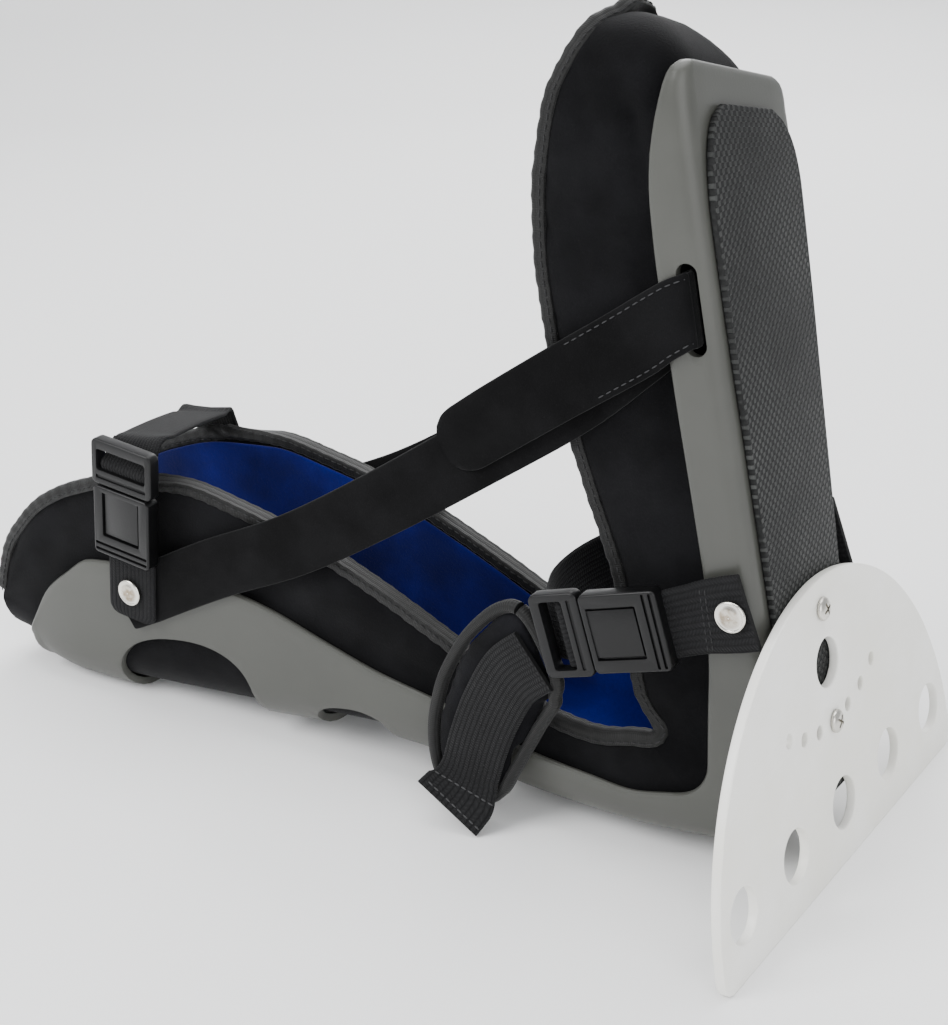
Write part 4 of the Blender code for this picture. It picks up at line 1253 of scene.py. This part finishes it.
class SPLINT_OT_binding(bpy.types.Operator):
    """Build the taped edge round the liner's rim, with its stitches"""
    bl_idname = "splint.binding"
    bl_label = "Bound Edge"

    def execute(self, context):
        run = even_run(rim_path(), 0.0022)
        half = 0.5 * LINER_WALL + 0.0010
        sections = []
        marks = {1: ([], []), -1: ([], [])}
        count = len(run)
        for i, point in enumerate(run):
            along = (run[min(i + 1, count - 1)] - run[max(i - 1, 0)]).normalized()
            out = rim_out(point)
            out = (out - out.dot(along) * along).normalized()
            side = along.cross(out).normalized()
            pucker = 0.00022 * math.sin(i * 2.0) + 0.00035 * noise.noise(Vector((i * 0.21, 3.1, 0.0)))
            wide = half + pucker
            low = -0.0026
            high = 0.0032 + 0.6 * pucker
            loop = []
            half_loop = ((0.90, low), (0.98, low + 0.0006), (1.0, 0.0), (0.98, 0.5 * high),
                         (0.80, 0.82 * high), (0.45, 0.97 * high))
            mirrored = tuple((-u, w) for u, w in reversed(half_loop))
            for u, w in half_loop + ((0.0, high),) + mirrored:
                loop.append(point + side * wide * u + out * w)
            sections.append(loop)
            for way in (1, -1):
                marks[way][0].append(point + side * way * (wide + 0.00005) + out * (low + 0.0016))
                marks[way][1].append(side * way)
        tape = finish_mesh("binding_tape", skin(sections), binding_tape("binding_weave"), 60.0, toes=True)
        hand_over(tape, "liner_binding")
        bm = bmesh.new()
        for way in (1, -1):
            stitch_run(bm, marks[way][0], marks[way][1], 0.0034, 0.0025, 0.00030)
        thread = sewing_thread("thread_dark", (0.020, 0.020, 0.021), (0.060, 0.060, 0.060))
        stitches = finish_mesh("binding_stitches", bm, thread, 80.0, toes=True)
        hand_over(stitches, "liner_binding", True)
        return {"FINISHED"}


# Straps and webbing

def angle_strap_rows(side):
    """Rows of a long strap from its rivet through the slot and back."""
    width = settings().strap_width
    thick = settings().strap_thickness
    wall = FOOT_HALF - settings().shell_wall
    inside = wall - 0.5 * thick - 0.0010
    outside = FOOT_HALF + 0.5 * thick + 0.0010
    calf = CALF_HALF + 0.5 * thick + 0.0010
    turn_x = SLOT_X - 0.0008
    # Distance from the plate, level, sideways place, tilt in degrees, share of the width
    table = (
        (-0.3120, 0.0960, calf, 24, 0.86),
        (-0.2980, 0.1020, calf, 24, 1.0),
        (-0.2540, 0.1170, calf, 20, 1.0),
        (-0.2080, 0.1300, calf - 0.0008, 20, 1.0),
        (-0.1600, 0.1490, calf - 0.0024, 23, 1.0),
        (-0.1150, 0.1690, calf - 0.0040, 25, 1.0),
        (-0.0700, 0.1900, inside + 0.0016, 25, 1.0),
        (-0.0400, 0.2080, inside, 20, 1.0),
        (-0.0240, 0.2180, inside, 8, 1.0),
        (turn_x, SLOT_HEIGHT, inside + 0.0006, 0, 1.0),
        (turn_x + 0.0010, SLOT_HEIGHT, inside + 0.0020, 0, 1.0),
        (turn_x + 0.0013, SLOT_HEIGHT, 0.5 * (inside + outside), 0, 1.0),
        (turn_x + 0.0010, SLOT_HEIGHT, outside - 0.0020, 0, 1.0),
        (turn_x, SLOT_HEIGHT, outside - 0.0006, 0, 1.0),
        (-0.0240, 0.2190, outside, 8, 1.0),
        (-0.0400, 0.2110, outside, 20, 1.0),
        (-0.0700, 0.1975, outside, 25, 1.0),
        (-0.0980, 0.1845, outside, 25, 1.0),
        (-0.1140, 0.1768, outside, 25, 0.98),
        (-0.1190, 0.1745, outside, 25, 0.90),
        (-0.1225, 0.1728, outside, 25, 0.72),
        (-0.1248, 0.1717, outside, 25, 0.42),
    )
    rows = []
    for x, z, y, tilt, share in table:
        turn = math.radians(tilt)
        rows.append(((x, side * y, z), (-math.sin(turn), 0.0, math.cos(turn)), share * width))
    return rows


class SPLINT_OT_angle_straps(bpy.types.Operator):
    """Build the two long straps that set the ankle's angle"""
    bl_idname = "splint.angle_straps"
    bl_label = "Angle Straps"

    def execute(self, context):
        material = napped("strap_brushed", (0.0016, 0.0016, 0.0018), (0.0055, 0.0055, 0.0060),
                          0.00016, 1500.0, 34.0, 0.06, 0.88)
        thread = sewing_thread("strap_thread", (0.030, 0.030, 0.032), (0.090, 0.090, 0.092))
        for name, side in (("near", -1), ("far", 1)):
            rows = smooth_rows(angle_strap_rows(side), 6)
            thick = settings().strap_thickness
            strap = finish_mesh("strap_" + name, band_mesh(rows, thick, False, 8, 0.00018), material, 50.0)
            hand_over(strap, "angle_strap_" + name)
            bm = bmesh.new()
            frames = band_frames(rows, False)
            outer = [f for f in frames if abs(f[0].y) > FOOT_HALF and f[0].x >= -0.060]
            for edge in (0.42, -0.42):
                marks = []
                outs = []
                for centre, across, _, width, _ in outer:
                    marks.append(centre + across * width * edge + Vector((0, side * 0.5 * thick, 0)))
                    outs.append(Vector((0, side, 0)))
                stitch_run(bm, marks, outs, 0.0036, 0.0024, 0.00024)
            stitches = finish_mesh("strap_stitches_" + name, bm, thread, 80.0)
            hand_over(stitches, "angle_strap_" + name, True)
        return {"FINISHED"}


def calf_places():
    """Rivet, lean, buckle centre and webbing slot of the calf strap."""
    thick = settings().strap_thickness
    y_tab = CALF_HALF + thick + 0.0014 + 0.5 * thick
    lean = Vector((0.27, 0.0, 0.963)).normalized()
    rivet = Vector((-0.302, -y_tab, 0.1050))
    centre = rivet + lean * (0.0172 + 0.0265) + Vector((0, -0.0034, 0))
    return rivet, lean, centre, centre + lean * (0.0265 - 0.0096)


class SPLINT_OT_calf_strap(bpy.types.Operator):
    """Build the calf strap's tab and the webbing over the calf"""
    bl_idname = "splint.calf_strap"
    bl_label = "Calf Strap"

    def execute(self, context):
        width = settings().strap_width
        thick = settings().strap_thickness
        rivet, lean, _, slot = calf_places()
        square = (0.963, 0.0, -0.27)
        rows = [(rivet - lean * 0.0133, square, width * 0.60),
                (rivet - lean * 0.0125, square, width * 0.84),
                (rivet - lean * 0.0105, square, width * 0.97),
                (rivet - lean * 0.0080, square, width),
                (rivet + lean * 0.0100, square, width),
                (rivet + lean * 0.0150, square, width),
                (rivet + lean * 0.0185 + Vector((0, -0.0016, 0)), square, width)]
        look = webbing("tab_webbing", (0.0020, 0.0020, 0.0022), (0.013, 0.013, 0.014),
                       0.0022, 0.0013, 1.1, 0.0003)
        bm = band_mesh(smooth_rows(rows, 3), thick, True, 8, 0.00012)
        tab = finish_mesh("calf_tab_band", bm, look, 50.0)
        hand_over(tab, "calf_tab")
        flat = (1.0, 0.0, -0.05)
        outer = CALF_HALF + thick + 0.0014
        rows = [(slot + lean * -0.0052 + Vector((0, 0.0006, 0)), square, width),
                (slot + lean * -0.0016 + Vector((0, -0.0004, 0)), square, width),
                (slot + lean * 0.0012 + Vector((0, 0.0026, 0)), square, width),
                (slot + lean * 0.0050 + Vector((0, 0.0056, 0)), square, width),
                (slot + lean * 0.0090 + Vector((0, 0.0094, 0)), flat, width)]
        start = Vector(rows[-1][0])
        far = Vector((-0.316, CALF_HALF + 0.0060, 0.1590))
        for k in range(1, 8):
            t = k / 8
            point = start.lerp(far, t)
            point.z += 0.0012 * math.sin(math.pi * t) ** 0.8
            rows.append((point, flat, width))
        rows += [(Vector((-0.3160, outer + 0.0010, 0.1440)), flat, width),
                 (Vector((-0.3100, outer + 0.5 * thick, 0.1300)), square, width),
                 (Vector((-0.3020, outer + 0.5 * thick, 0.1050)), square, width),
                 (Vector((-0.2990, outer + 0.5 * thick, 0.0950)), square, width * 0.96),
                 (Vector((-0.2985, outer + 0.5 * thick, 0.0930)), square, width * 0.7)]
        look = webbing("calf_webbing_weave", (0.0020, 0.0020, 0.0021), (0.016, 0.016, 0.017),
                       0.0016, 0.0012, 0.8)
        belt = finish_mesh("calf_belt", band_mesh(smooth_rows(rows, 5), thick, True, 8, 0.00012), look, 50.0)
        hand_over(belt, "calf_webbing")
        return {"FINISHED"}


def ankle_places():
    """Buckle centre, direction from body to clip, and webbing slot of the ankle strap."""
    y_tab = FOOT_HALF + 0.0008 + 0.5 * settings().strap_thickness
    along = Vector((-0.990, -0.05, -0.110)).normalized()
    centre = Vector((-0.0372, -y_tab - 0.0062, 0.1098)) + along * 0.0265
    return y_tab, along, centre, centre + along * (0.0265 - 0.0096)


class SPLINT_OT_ankle_strap(bpy.types.Operator):
    """Build the heel tab and the webbing round the ankle"""
    bl_idname = "splint.ankle_strap"
    bl_label = "Ankle Strap"

    def execute(self, context):
        width = settings().strap_width
        thick = settings().strap_thickness
        y_tab, _, _, slot = ankle_places()
        level = (0.10, 0.0, 0.995)
        rows = [((SOLE_X - 0.0004, -y_tab, 0.1152), level, 0.029),
                ((-0.0140, -y_tab, 0.1140), level, 0.029),
                ((-0.0210, -y_tab - 0.0001, 0.1128), level, 0.0283),
                ((-0.0280, -y_tab - 0.0006, 0.1115), (-0.05, 0.0, 0.998), 0.0268),
                ((-0.0350, -y_tab - 0.0026, 0.1104), (-0.11, 0.0, 0.994), width),
                ((-0.0400, -y_tab - 0.0048, 0.1096), (-0.11, 0.0, 0.994), width)]
        look = webbing("heel_tab_weave", (0.0020, 0.0020, 0.0022), (0.015, 0.015, 0.016),
                       0.0024, 0.0013, 1.2, 0.00035)
        bm = band_mesh(smooth_rows(rows, 4), thick, True, 8, 0.0002)
        tab = finish_mesh("heel_tab_band", bm, look, 50.0)
        hand_over(tab, "heel_tab")
        bm = bmesh.new()
        for x in (-0.0232, -0.0252):
            points = [Vector((x, -y_tab - 0.0001 - 0.5 * thick, z)) for z in spread(0.1010, 0.1240, 8)]
            stitch_run(bm, points, [Vector((0, -1, 0))] * 8, 0.0030, 0.0021, 0.00024)
        thread = sewing_thread("tab_thread", (0.020, 0.020, 0.021), (0.070, 0.070, 0.070))
        hand_over(finish_mesh("heel_tab_stitches", bm, thread, 80.0), "heel_tab", True)
        square = (-0.110, 0.0, 0.994)
        far = FOOT_HALF + 0.0018
        rows = [(slot + Vector((0.0050, 0.0006, 0.0006)), square, width),
                (slot + Vector((0.0016, -0.0004, 0.0)), square, width),
                (slot + Vector((-0.0010, 0.0030, 0.0)), square, width),
                (slot + Vector((-0.0044, 0.0060, -0.0004)), square, width),
                (slot + Vector((-0.0120, 0.0086, -0.0008)), level, width),
                ((-0.0975, -0.030, 0.1010), level, width),
                ((-0.1060, -0.010, 0.1020), level, width),
                ((-0.1060, 0.014, 0.1030), level, width),
                ((-0.0940, 0.034, 0.1050), level, width),
                ((-0.0700, far + 0.0010, 0.1080), level, width),
                ((-0.0400, far, 0.1110), level, width),
                ((-0.0140, far, 0.1140), level, 0.029),
                ((SOLE_X - 0.0004, far, 0.1150), level, 0.029)]
        look = webbing("ankle_webbing_weave", (0.0020, 0.0020, 0.0021), (0.014, 0.014, 0.015))
        belt = finish_mesh("ankle_belt", band_mesh(smooth_rows(rows, 5), thick, True, 8, 0.00012), look, 50.0)
        hand_over(belt, "ankle_webbing")
        return {"FINISHED"}


# Buckles, rivets

def square_frame(along, out_hint, centre):
    """Matrix that puts a piece at a place, along its strap and facing out."""
    along = Vector(along).normalized()
    out = Vector(out_hint)
    out = (out - out.dot(along) * along).normalized()
    matrix = Matrix((along, out.cross(along), out)).transposed().to_4x4()
    matrix.translation = Vector(centre)
    return matrix


def buckle_piece(name, outline, low, high, cutters, matrix, material):
    """One half of a buckle, drawn face up along +X, cut, eased and stood in its place."""
    bm = flat_piece(name, outline, [], low, high, 0.0009)
    bmesh.ops.recalc_face_normals(bm, faces=bm.faces)
    obj = mesh_object(name, bm, material)
    cut_away(obj, cutters)
    obj.data.transform(TO_WORLD @ matrix)
    ease_edges(obj, 0.00028, 2, 40.0)
    return obj


def shifted(outline, dx, dy=0.0):
    """Outline moved in its plane."""
    return [(x + dx, y + dy) for x, y in outline]


class SPLINT_OT_buckles(bpy.types.Operator):
    """Build the two side-release buckles"""
    bl_idname = "splint.buckles"
    bl_label = "Buckles"

    def execute(self, context):
        length = 0.053
        width = 0.033
        thick = 0.0068
        material = moulded("buckle_plastic", (0.0028, 0.0028, 0.0030), (0.0055, 0.0055, 0.0060),
                           0.34, 0.00003, 1100.0, 0.28)
        _, lean, calf_centre, _ = calf_places()
        _, along, ankle_centre, _ = ankle_places()
        for prefix, direction, centre in (("calf", lean, calf_centre), ("ankle", along, ankle_centre)):
            matrix = square_frame(direction, (0, -1, 0), centre)
            body_long = 0.60 * length
            clip_long = 0.39 * length
            body_mid = -0.5 * length + 0.5 * body_long
            clip_mid = 0.5 * length - 0.5 * clip_long
            top = 0.5 * thick
            cutters = []
            # Sunk panel, and the gap that frames it on three sides
            panel = shifted(rounded_box(0.0200, 0.0190, 0.0010, 3), body_mid + 0.0034)
            cutters.append(prism_cutter(panel, top - 0.0006, 0.01, "Z"))
            for dx, dy, w, h in ((-0.0098, 0.0, 0.0011, 0.0200), (0.0, 0.0096, 0.0200, 0.0011),
                                 (0.0, -0.0096, 0.0200, 0.0011)):
                line = shifted(rounded_box(w, h, 0.0004, 2), body_mid + 0.0034 + dx, dy)
                cutters.append(prism_cutter(line, top - 0.0021, 0.01, "Z"))
            for dx in (0.0022, 0.0050):
                groove_line = shifted(rounded_box(0.0012, 0.0286, 0.0005, 2), body_mid - 0.5 * body_long + dx)
                cutters.append(prism_cutter(groove_line, top - 0.0012, 0.01, "Z"))
            for way in (-1, 1):
                notch = [(body_mid + 0.5 * body_long - 0.0002, way * 0.0134),
                         (body_mid + 0.5 * body_long + 0.002, way * 0.0134),
                         (body_mid + 0.5 * body_long + 0.002, way * 0.0175),
                         (body_mid + 0.5 * body_long - 0.0032, way * 0.0175)]
                cutters.append(prism_cutter(notch, -0.01, 0.01, "Z"))
            outline = shifted(rounded_box(body_long, 0.93 * width, 0.0022), body_mid)
            body = buckle_piece(prefix + "_buckle_socket", outline, -top, top, cutters, matrix, material)
            hand_over(body, prefix + "_buckle_body")
            slot = shifted(rounded_box(0.0096, 0.0270, 0.0012, 3), clip_mid + 0.0012)
            cutters = [prism_cutter(slot, -0.01, 0.01, "Z")]
            step = shifted(rounded_box(0.0016, 0.0275, 0.0005, 2), clip_mid - 0.0066)
            cutters.append(prism_cutter(step, 0.43 * thick - 0.0008, 0.01, "Z"))
            outline = shifted(rounded_box(clip_long, width, 0.0030), clip_mid)
            clip = buckle_piece(prefix + "_buckle_prongs", outline, -0.43 * thick, 0.43 * thick, cutters,
                                matrix, material)
            hand_over(clip, prefix + "_buckle_clip")
            # Bar that the webbing turns round, below the face
            bar = [[(x, y, z - 0.0008) for x, z in circle((clip_mid + 0.0012 - 0.0030, 0), 0.0011, 20)]
                   for y in spread(-0.0140, 0.0140, 3)]
            bm = skin(bar)
            bmesh.ops.transform(bm, matrix=matrix, verts=bm.verts)
            rod = finish_mesh(prefix + "_buckle_bar", bm, material, 50.0)
            hand_over(rod, prefix + "_buckle_clip", True)
        return {"FINISHED"}


class SPLINT_OT_rivets(bpy.types.Operator):
    """Build the four nickel rivet caps with their rolled rims"""
    bl_idname = "splint.rivets"
    bl_label = "Rivets"

    def execute(self, context):
        material = rivet_metal("rivet_nickel")
        thick = settings().strap_thickness
        # Radius and rise of the cap's profile, from its back to its middle
        profile = ((5.60, 0.0), (5.90, 0.25), (6.00, 0.75), (5.92, 1.25), (5.65, 1.58), (5.30, 1.68),
                   (4.98, 1.50), (4.75, 1.34), (4.40, 1.40), (3.60, 1.68), (2.50, 1.94), (1.20, 2.10),
                   (0.30, 2.14))
        rivet, _, _, _ = calf_places()
        y_tab, _, _, _ = ankle_places()
        calf_cap = -rivet.y + 0.5 * thick + SEAT
        heel_cap = y_tab + 0.5 * thick + SEAT
        far_cap = FOOT_HALF + 0.0018 + 0.5 * thick + SEAT
        places = (("calf_near", rivet.x, rivet.z, -calf_cap, -1), ("calf_far", rivet.x, rivet.z, calf_cap, 1),
                  ("heel_near", -0.0140, 0.1140, -heel_cap, -1), ("heel_far", -0.0140, 0.1140, far_cap, 1))
        for name, x, z, y, side in places:
            sections = []
            for radius, rise in profile:
                sections.append([(px, y + side * rise * 0.001, pz)
                                 for px, pz in circle((x, z), radius * 0.001, 56)])
            cap = finish_mesh("rivet_cap_" + name, skin(sections), material, 60.0)
            hand_over(cap, "rivet_" + name)
        return {"FINISHED"}


# Pad and tail under the ankle buckle

def pad_rows():
    """Rows of the pad from the ankle buckle down."""
    skin_y = CALF_HALF + 0.0016 + 0.0024
    return [((-0.0945, -skin_y - 0.0010, 0.0960), (0.10, 0, 0.995), PAD_WIDTH * 0.78),
            ((-0.1010, -skin_y - 0.0004, 0.0930), (0.22, 0, 0.975), PAD_WIDTH * 0.94),
            ((-0.1120, -skin_y, 0.0830), (-0.42, 0, 0.907), PAD_WIDTH),
            ((-0.1230, -skin_y, 0.0690), (-0.70, 0, 0.714), PAD_WIDTH),
            ((-0.1310, -skin_y - 0.0010, 0.0540), (-0.90, 0, 0.436), PAD_WIDTH * 0.92),
            ((-0.1350, -skin_y - 0.0020, 0.0410), (-0.98, 0, 0.199), PAD_WIDTH * 0.76),
            ((-0.1362, -skin_y - 0.0024, 0.0350), (-0.99, 0, 0.141), PAD_WIDTH * 0.56)]


class SPLINT_OT_instep_pad(bpy.types.Operator):
    """Build the piped pad that lies under the ankle buckle"""
    bl_idname = "splint.instep_pad"
    bl_label = "Instep Pad"

    def execute(self, context):
        rows = smooth_rows(pad_rows(), 8)
        material = napped("pad_cloth", (0.0024, 0.0024, 0.0028), (0.010, 0.010, 0.012),
                          0.00020, 1200.0, 40.0, 0.06)
        frames = band_frames(rows)
        sections = []
        for centre, side, out, width, _ in frames:
            loop = []
            for k in range(28):
                angle = 2 * math.pi * k / 28
                u = math.copysign(abs(math.cos(angle)) ** 0.55, math.cos(angle))
                w = math.copysign(abs(math.sin(angle)) ** 0.80, math.sin(angle))
                loop.append(centre + side * 0.46 * width * u + out * 0.0019 * w)
            sections.append(loop)
        pad = finish_mesh("pad_body", skin(sections), material, 80.0)
        remesh = pad.modifiers.new("even", "REMESH")
        remesh.mode = "VOXEL"
        remesh.voxel_size = 0.0024
        bake(pad)
        swell(pad, 0.0012, lambda co: 0.0, lambda co: 1.0)
        smooth = pad.modifiers.new("soften", "SMOOTH")
        smooth.factor = 0.6
        smooth.iterations = 3
        finer = pad.modifiers.new("finer", "SUBSURF")
        finer.levels = 1
        finer.render_levels = 1
        bake(pad)
        pad.data.shade_smooth()
        hand_over(pad, "instep_pad")
        edge = []
        for centre, side, _, width, _ in frames:
            edge.append(centre + side * 0.47 * width)
        last_centre, last_side, _, last_width, last_along = frames[-1]
        for k in range(1, 8):
            angle = math.pi * k / 8
            edge.append(last_centre + last_side * 0.47 * last_width * math.cos(angle)
                        + last_along * 0.004 * math.sin(angle))
        for centre, side, _, width, _ in reversed(frames):
            edge.append(centre - side * 0.47 * width)
        first_centre, first_side, _, first_width, first_along = frames[0]
        for k in range(1, 9):
            angle = math.pi * (1 + k / 8)
            edge.append(first_centre + first_side * 0.47 * first_width * math.cos(angle)
                        + first_along * 0.004 * math.sin(angle))
        run = even_run(edge, 0.0016)
        bm = skin(tube_sections(run, 0.0026, 14, 1.12))
        piping = finish_mesh("pad_piping", bm, binding_tape("piping_weave"), 80.0)
        hand_over(piping, "instep_pad", True)
        return {"FINISHED"}


class SPLINT_OT_tail(bpy.types.Operator):
    """Build the free webbing tail with its stitched hem"""
    bl_idname = "splint.tail"
    bl_label = "Webbing Tail"

    def execute(self, context):
        width = settings().strap_width
        thick = settings().strap_thickness
        over = CALF_HALF + 0.0016 + 0.0048 + 0.5 * thick + 0.0006
        rows = [((-0.0945, -over - 0.0010, 0.0930), (0.10, 0, 0.995), width),
                ((-0.1070, -over - 0.0004, 0.0850), (-0.42, 0, 0.907), width),
                ((-0.1190, -over, 0.0700), (-0.74, 0, 0.673), width),
                ((-0.1270, -over - 0.0008, 0.0560), (-0.93, 0, 0.368), width),
                ((-0.1325, -over - 0.0016, 0.0440), (-0.960, 0, 0.280), width),
                ((-0.1345, -over - 0.0036, 0.0388), (-0.930, -0.05, 0.370), width * 1.06),
                ((-0.1365, -over - 0.0066, 0.0349), (-0.860, -0.15, 0.480), width * 1.18),
                ((-0.1400, -over - 0.0115, 0.0308), (-0.790, -0.24, 0.560), width * 1.20)]
        look = webbing("tail_weave", (0.0020, 0.0020, 0.0022), (0.018, 0.018, 0.019),
                       0.0021, 0.0012, 0.5, 0.0005)
        dense = smooth_rows(rows, 7)
        tail = finish_mesh("tail_band", band_mesh(dense, thick, True, 12, 0.00015), look, 50.0)
        hand_over(tail, "ankle_tail")
        frames = band_frames(dense)
        bm = bmesh.new()
        outward = -1.0 if frames[-1][2].y > 0 else 1.0
        for back_step in (3, 11):
            centre, side, out, wide, _ = frames[-1 - back_step]
            face = out * outward
            points = [centre + side * wide * share + face * (0.5 * thick)
                      for share in spread(-0.44, 0.44, 12)]
            stitch_run(bm, points, [face] * 12, 0.0031, 0.0022, 0.00032)
        thread = sewing_thread("hem_thread", (0.040, 0.040, 0.042), (0.12, 0.12, 0.12))
        hand_over(finish_mesh("tail_stitches", bm, thread, 80.0), "ankle_tail", True)
        return {"FINISHED"}


# Stage

class SPLINT_OT_stage(bpy.types.Operator):
    """Set the pale floor, the soft lamps and the camera"""
    bl_idname = "splint.stage"
    bl_label = "Stage"

    def execute(self, context):
        scene = context.scene
        material, _, shader = start_material("stage_paper", 0.9)
        shader.inputs["Base Color"].default_value = (0.93, 0.93, 0.93, 1.0)
        bm = bmesh.new()
        rings = []
        for x, z in ((3.0, 0.0), (-1.4, 0.0), (-1.75, 0.06), (-2.0, 0.26), (-2.1, 0.6), (-2.1, 3.0)):
            rings.append([bm.verts.new((x, y, z)) for y in (-3.5, 3.5)])
        for low, high in zip(rings, rings[1:]):
            bm.faces.new((low[0], low[1], high[1], high[0]))
        floor = mesh_object("stage_floor", bm, material)
        floor.rotation_euler = (0.0, 0.0, math.radians(-58))
        floor.data.shade_smooth()

        world = bpy.data.worlds.new("studio")
        world.use_nodes = True
        world.node_tree.nodes["Background"].inputs["Color"].default_value = (0.95, 0.97, 1.0, 1.0)
        world.node_tree.nodes["Background"].inputs["Strength"].default_value = 0.80
        scene.world = world
        power = settings().lamp_power
        lamps = (("key", (-0.75, -1.25, 1.35), 1.1, power), ("fill", (1.35, -0.95, 0.75), 1.2, 0.45 * power),
                 ("top", (0.1, 0.3, 1.7), 1.4, 0.7 * power), ("back", (-0.4, 1.4, 1.0), 0.9, 0.4 * power))
        for name, place, size, watts in lamps:
            data = bpy.data.lights.new("lamp_" + name, "AREA")
            data.energy = watts
            data.size = size
            lamp = bpy.data.objects.new("lamp_" + name, data)
            lamp.location = place
            aim = Vector((0.02, 0.0, 0.12)) - Vector(place)
            lamp.rotation_euler = aim.to_track_quat("-Z", "Y").to_euler()
            scene.collection.objects.link(lamp)

        right = Vector((0.8186, 0.5501, -0.1654))
        down = Vector((0.0406, -0.3426, -0.9386))
        forward = Vector((-0.573, 0.7616, -0.3027))
        turn = Matrix((right, -down, -forward)).transposed().to_4x4()
        turn.translation = Vector((0.2947, -0.5866, 0.3647))
        data = bpy.data.cameras.new("view")
        data.sensor_fit = "HORIZONTAL"
        data.sensor_width = 36.0
        data.lens = 73.4
        data.clip_start = 0.01
        camera = bpy.data.objects.new("view", data)
        camera.matrix_world = TO_WORLD @ turn
        scene.collection.objects.link(camera)
        scene.camera = camera
        return {"FINISHED"}


PIECES = (SPLINT_OT_shell, SPLINT_OT_tread, SPLINT_OT_plate, SPLINT_OT_screws, SPLINT_OT_liner,
          SPLINT_OT_lining, SPLINT_OT_binding, SPLINT_OT_angle_straps, SPLINT_OT_calf_strap,
          SPLINT_OT_ankle_strap, SPLINT_OT_buckles, SPLINT_OT_rivets, SPLINT_OT_instep_pad,
          SPLINT_OT_tail, SPLINT_OT_stage)


class SPLINT_PT_pieces(bpy.types.Panel):
    bl_idname = "SPLINT_PT_pieces"
    bl_label = "Night Splint"
    bl_space_type = "VIEW_3D"
    bl_region_type = "UI"
    bl_category = "Splint"

    def draw(self, context):
        layout = self.layout
        for name in SplintSettings.__annotations__:
            layout.prop(context.scene.splint_settings, name)
        for piece in PIECES:
            layout.operator(piece.bl_idname)


def register():
    bpy.utils.register_class(SplintSettings)
    bpy.types.Scene.splint_settings = bpy.props.PointerProperty(type=SplintSettings)
    for piece in PIECES:
        bpy.utils.register_class(piece)
    bpy.utils.register_class(SPLINT_PT_pieces)


def unregister():
    bpy.utils.unregister_class(SPLINT_PT_pieces)
    for piece in reversed(PIECES):
        bpy.utils.unregister_class(piece)
    del bpy.types.Scene.splint_settings
    bpy.utils.unregister_class(SplintSettings)


def main():
    register()
    for piece in PIECES:
        getattr(bpy.ops.splint, piece.bl_idname.split(".")[1])()


if __name__ == "__main__":
    main()
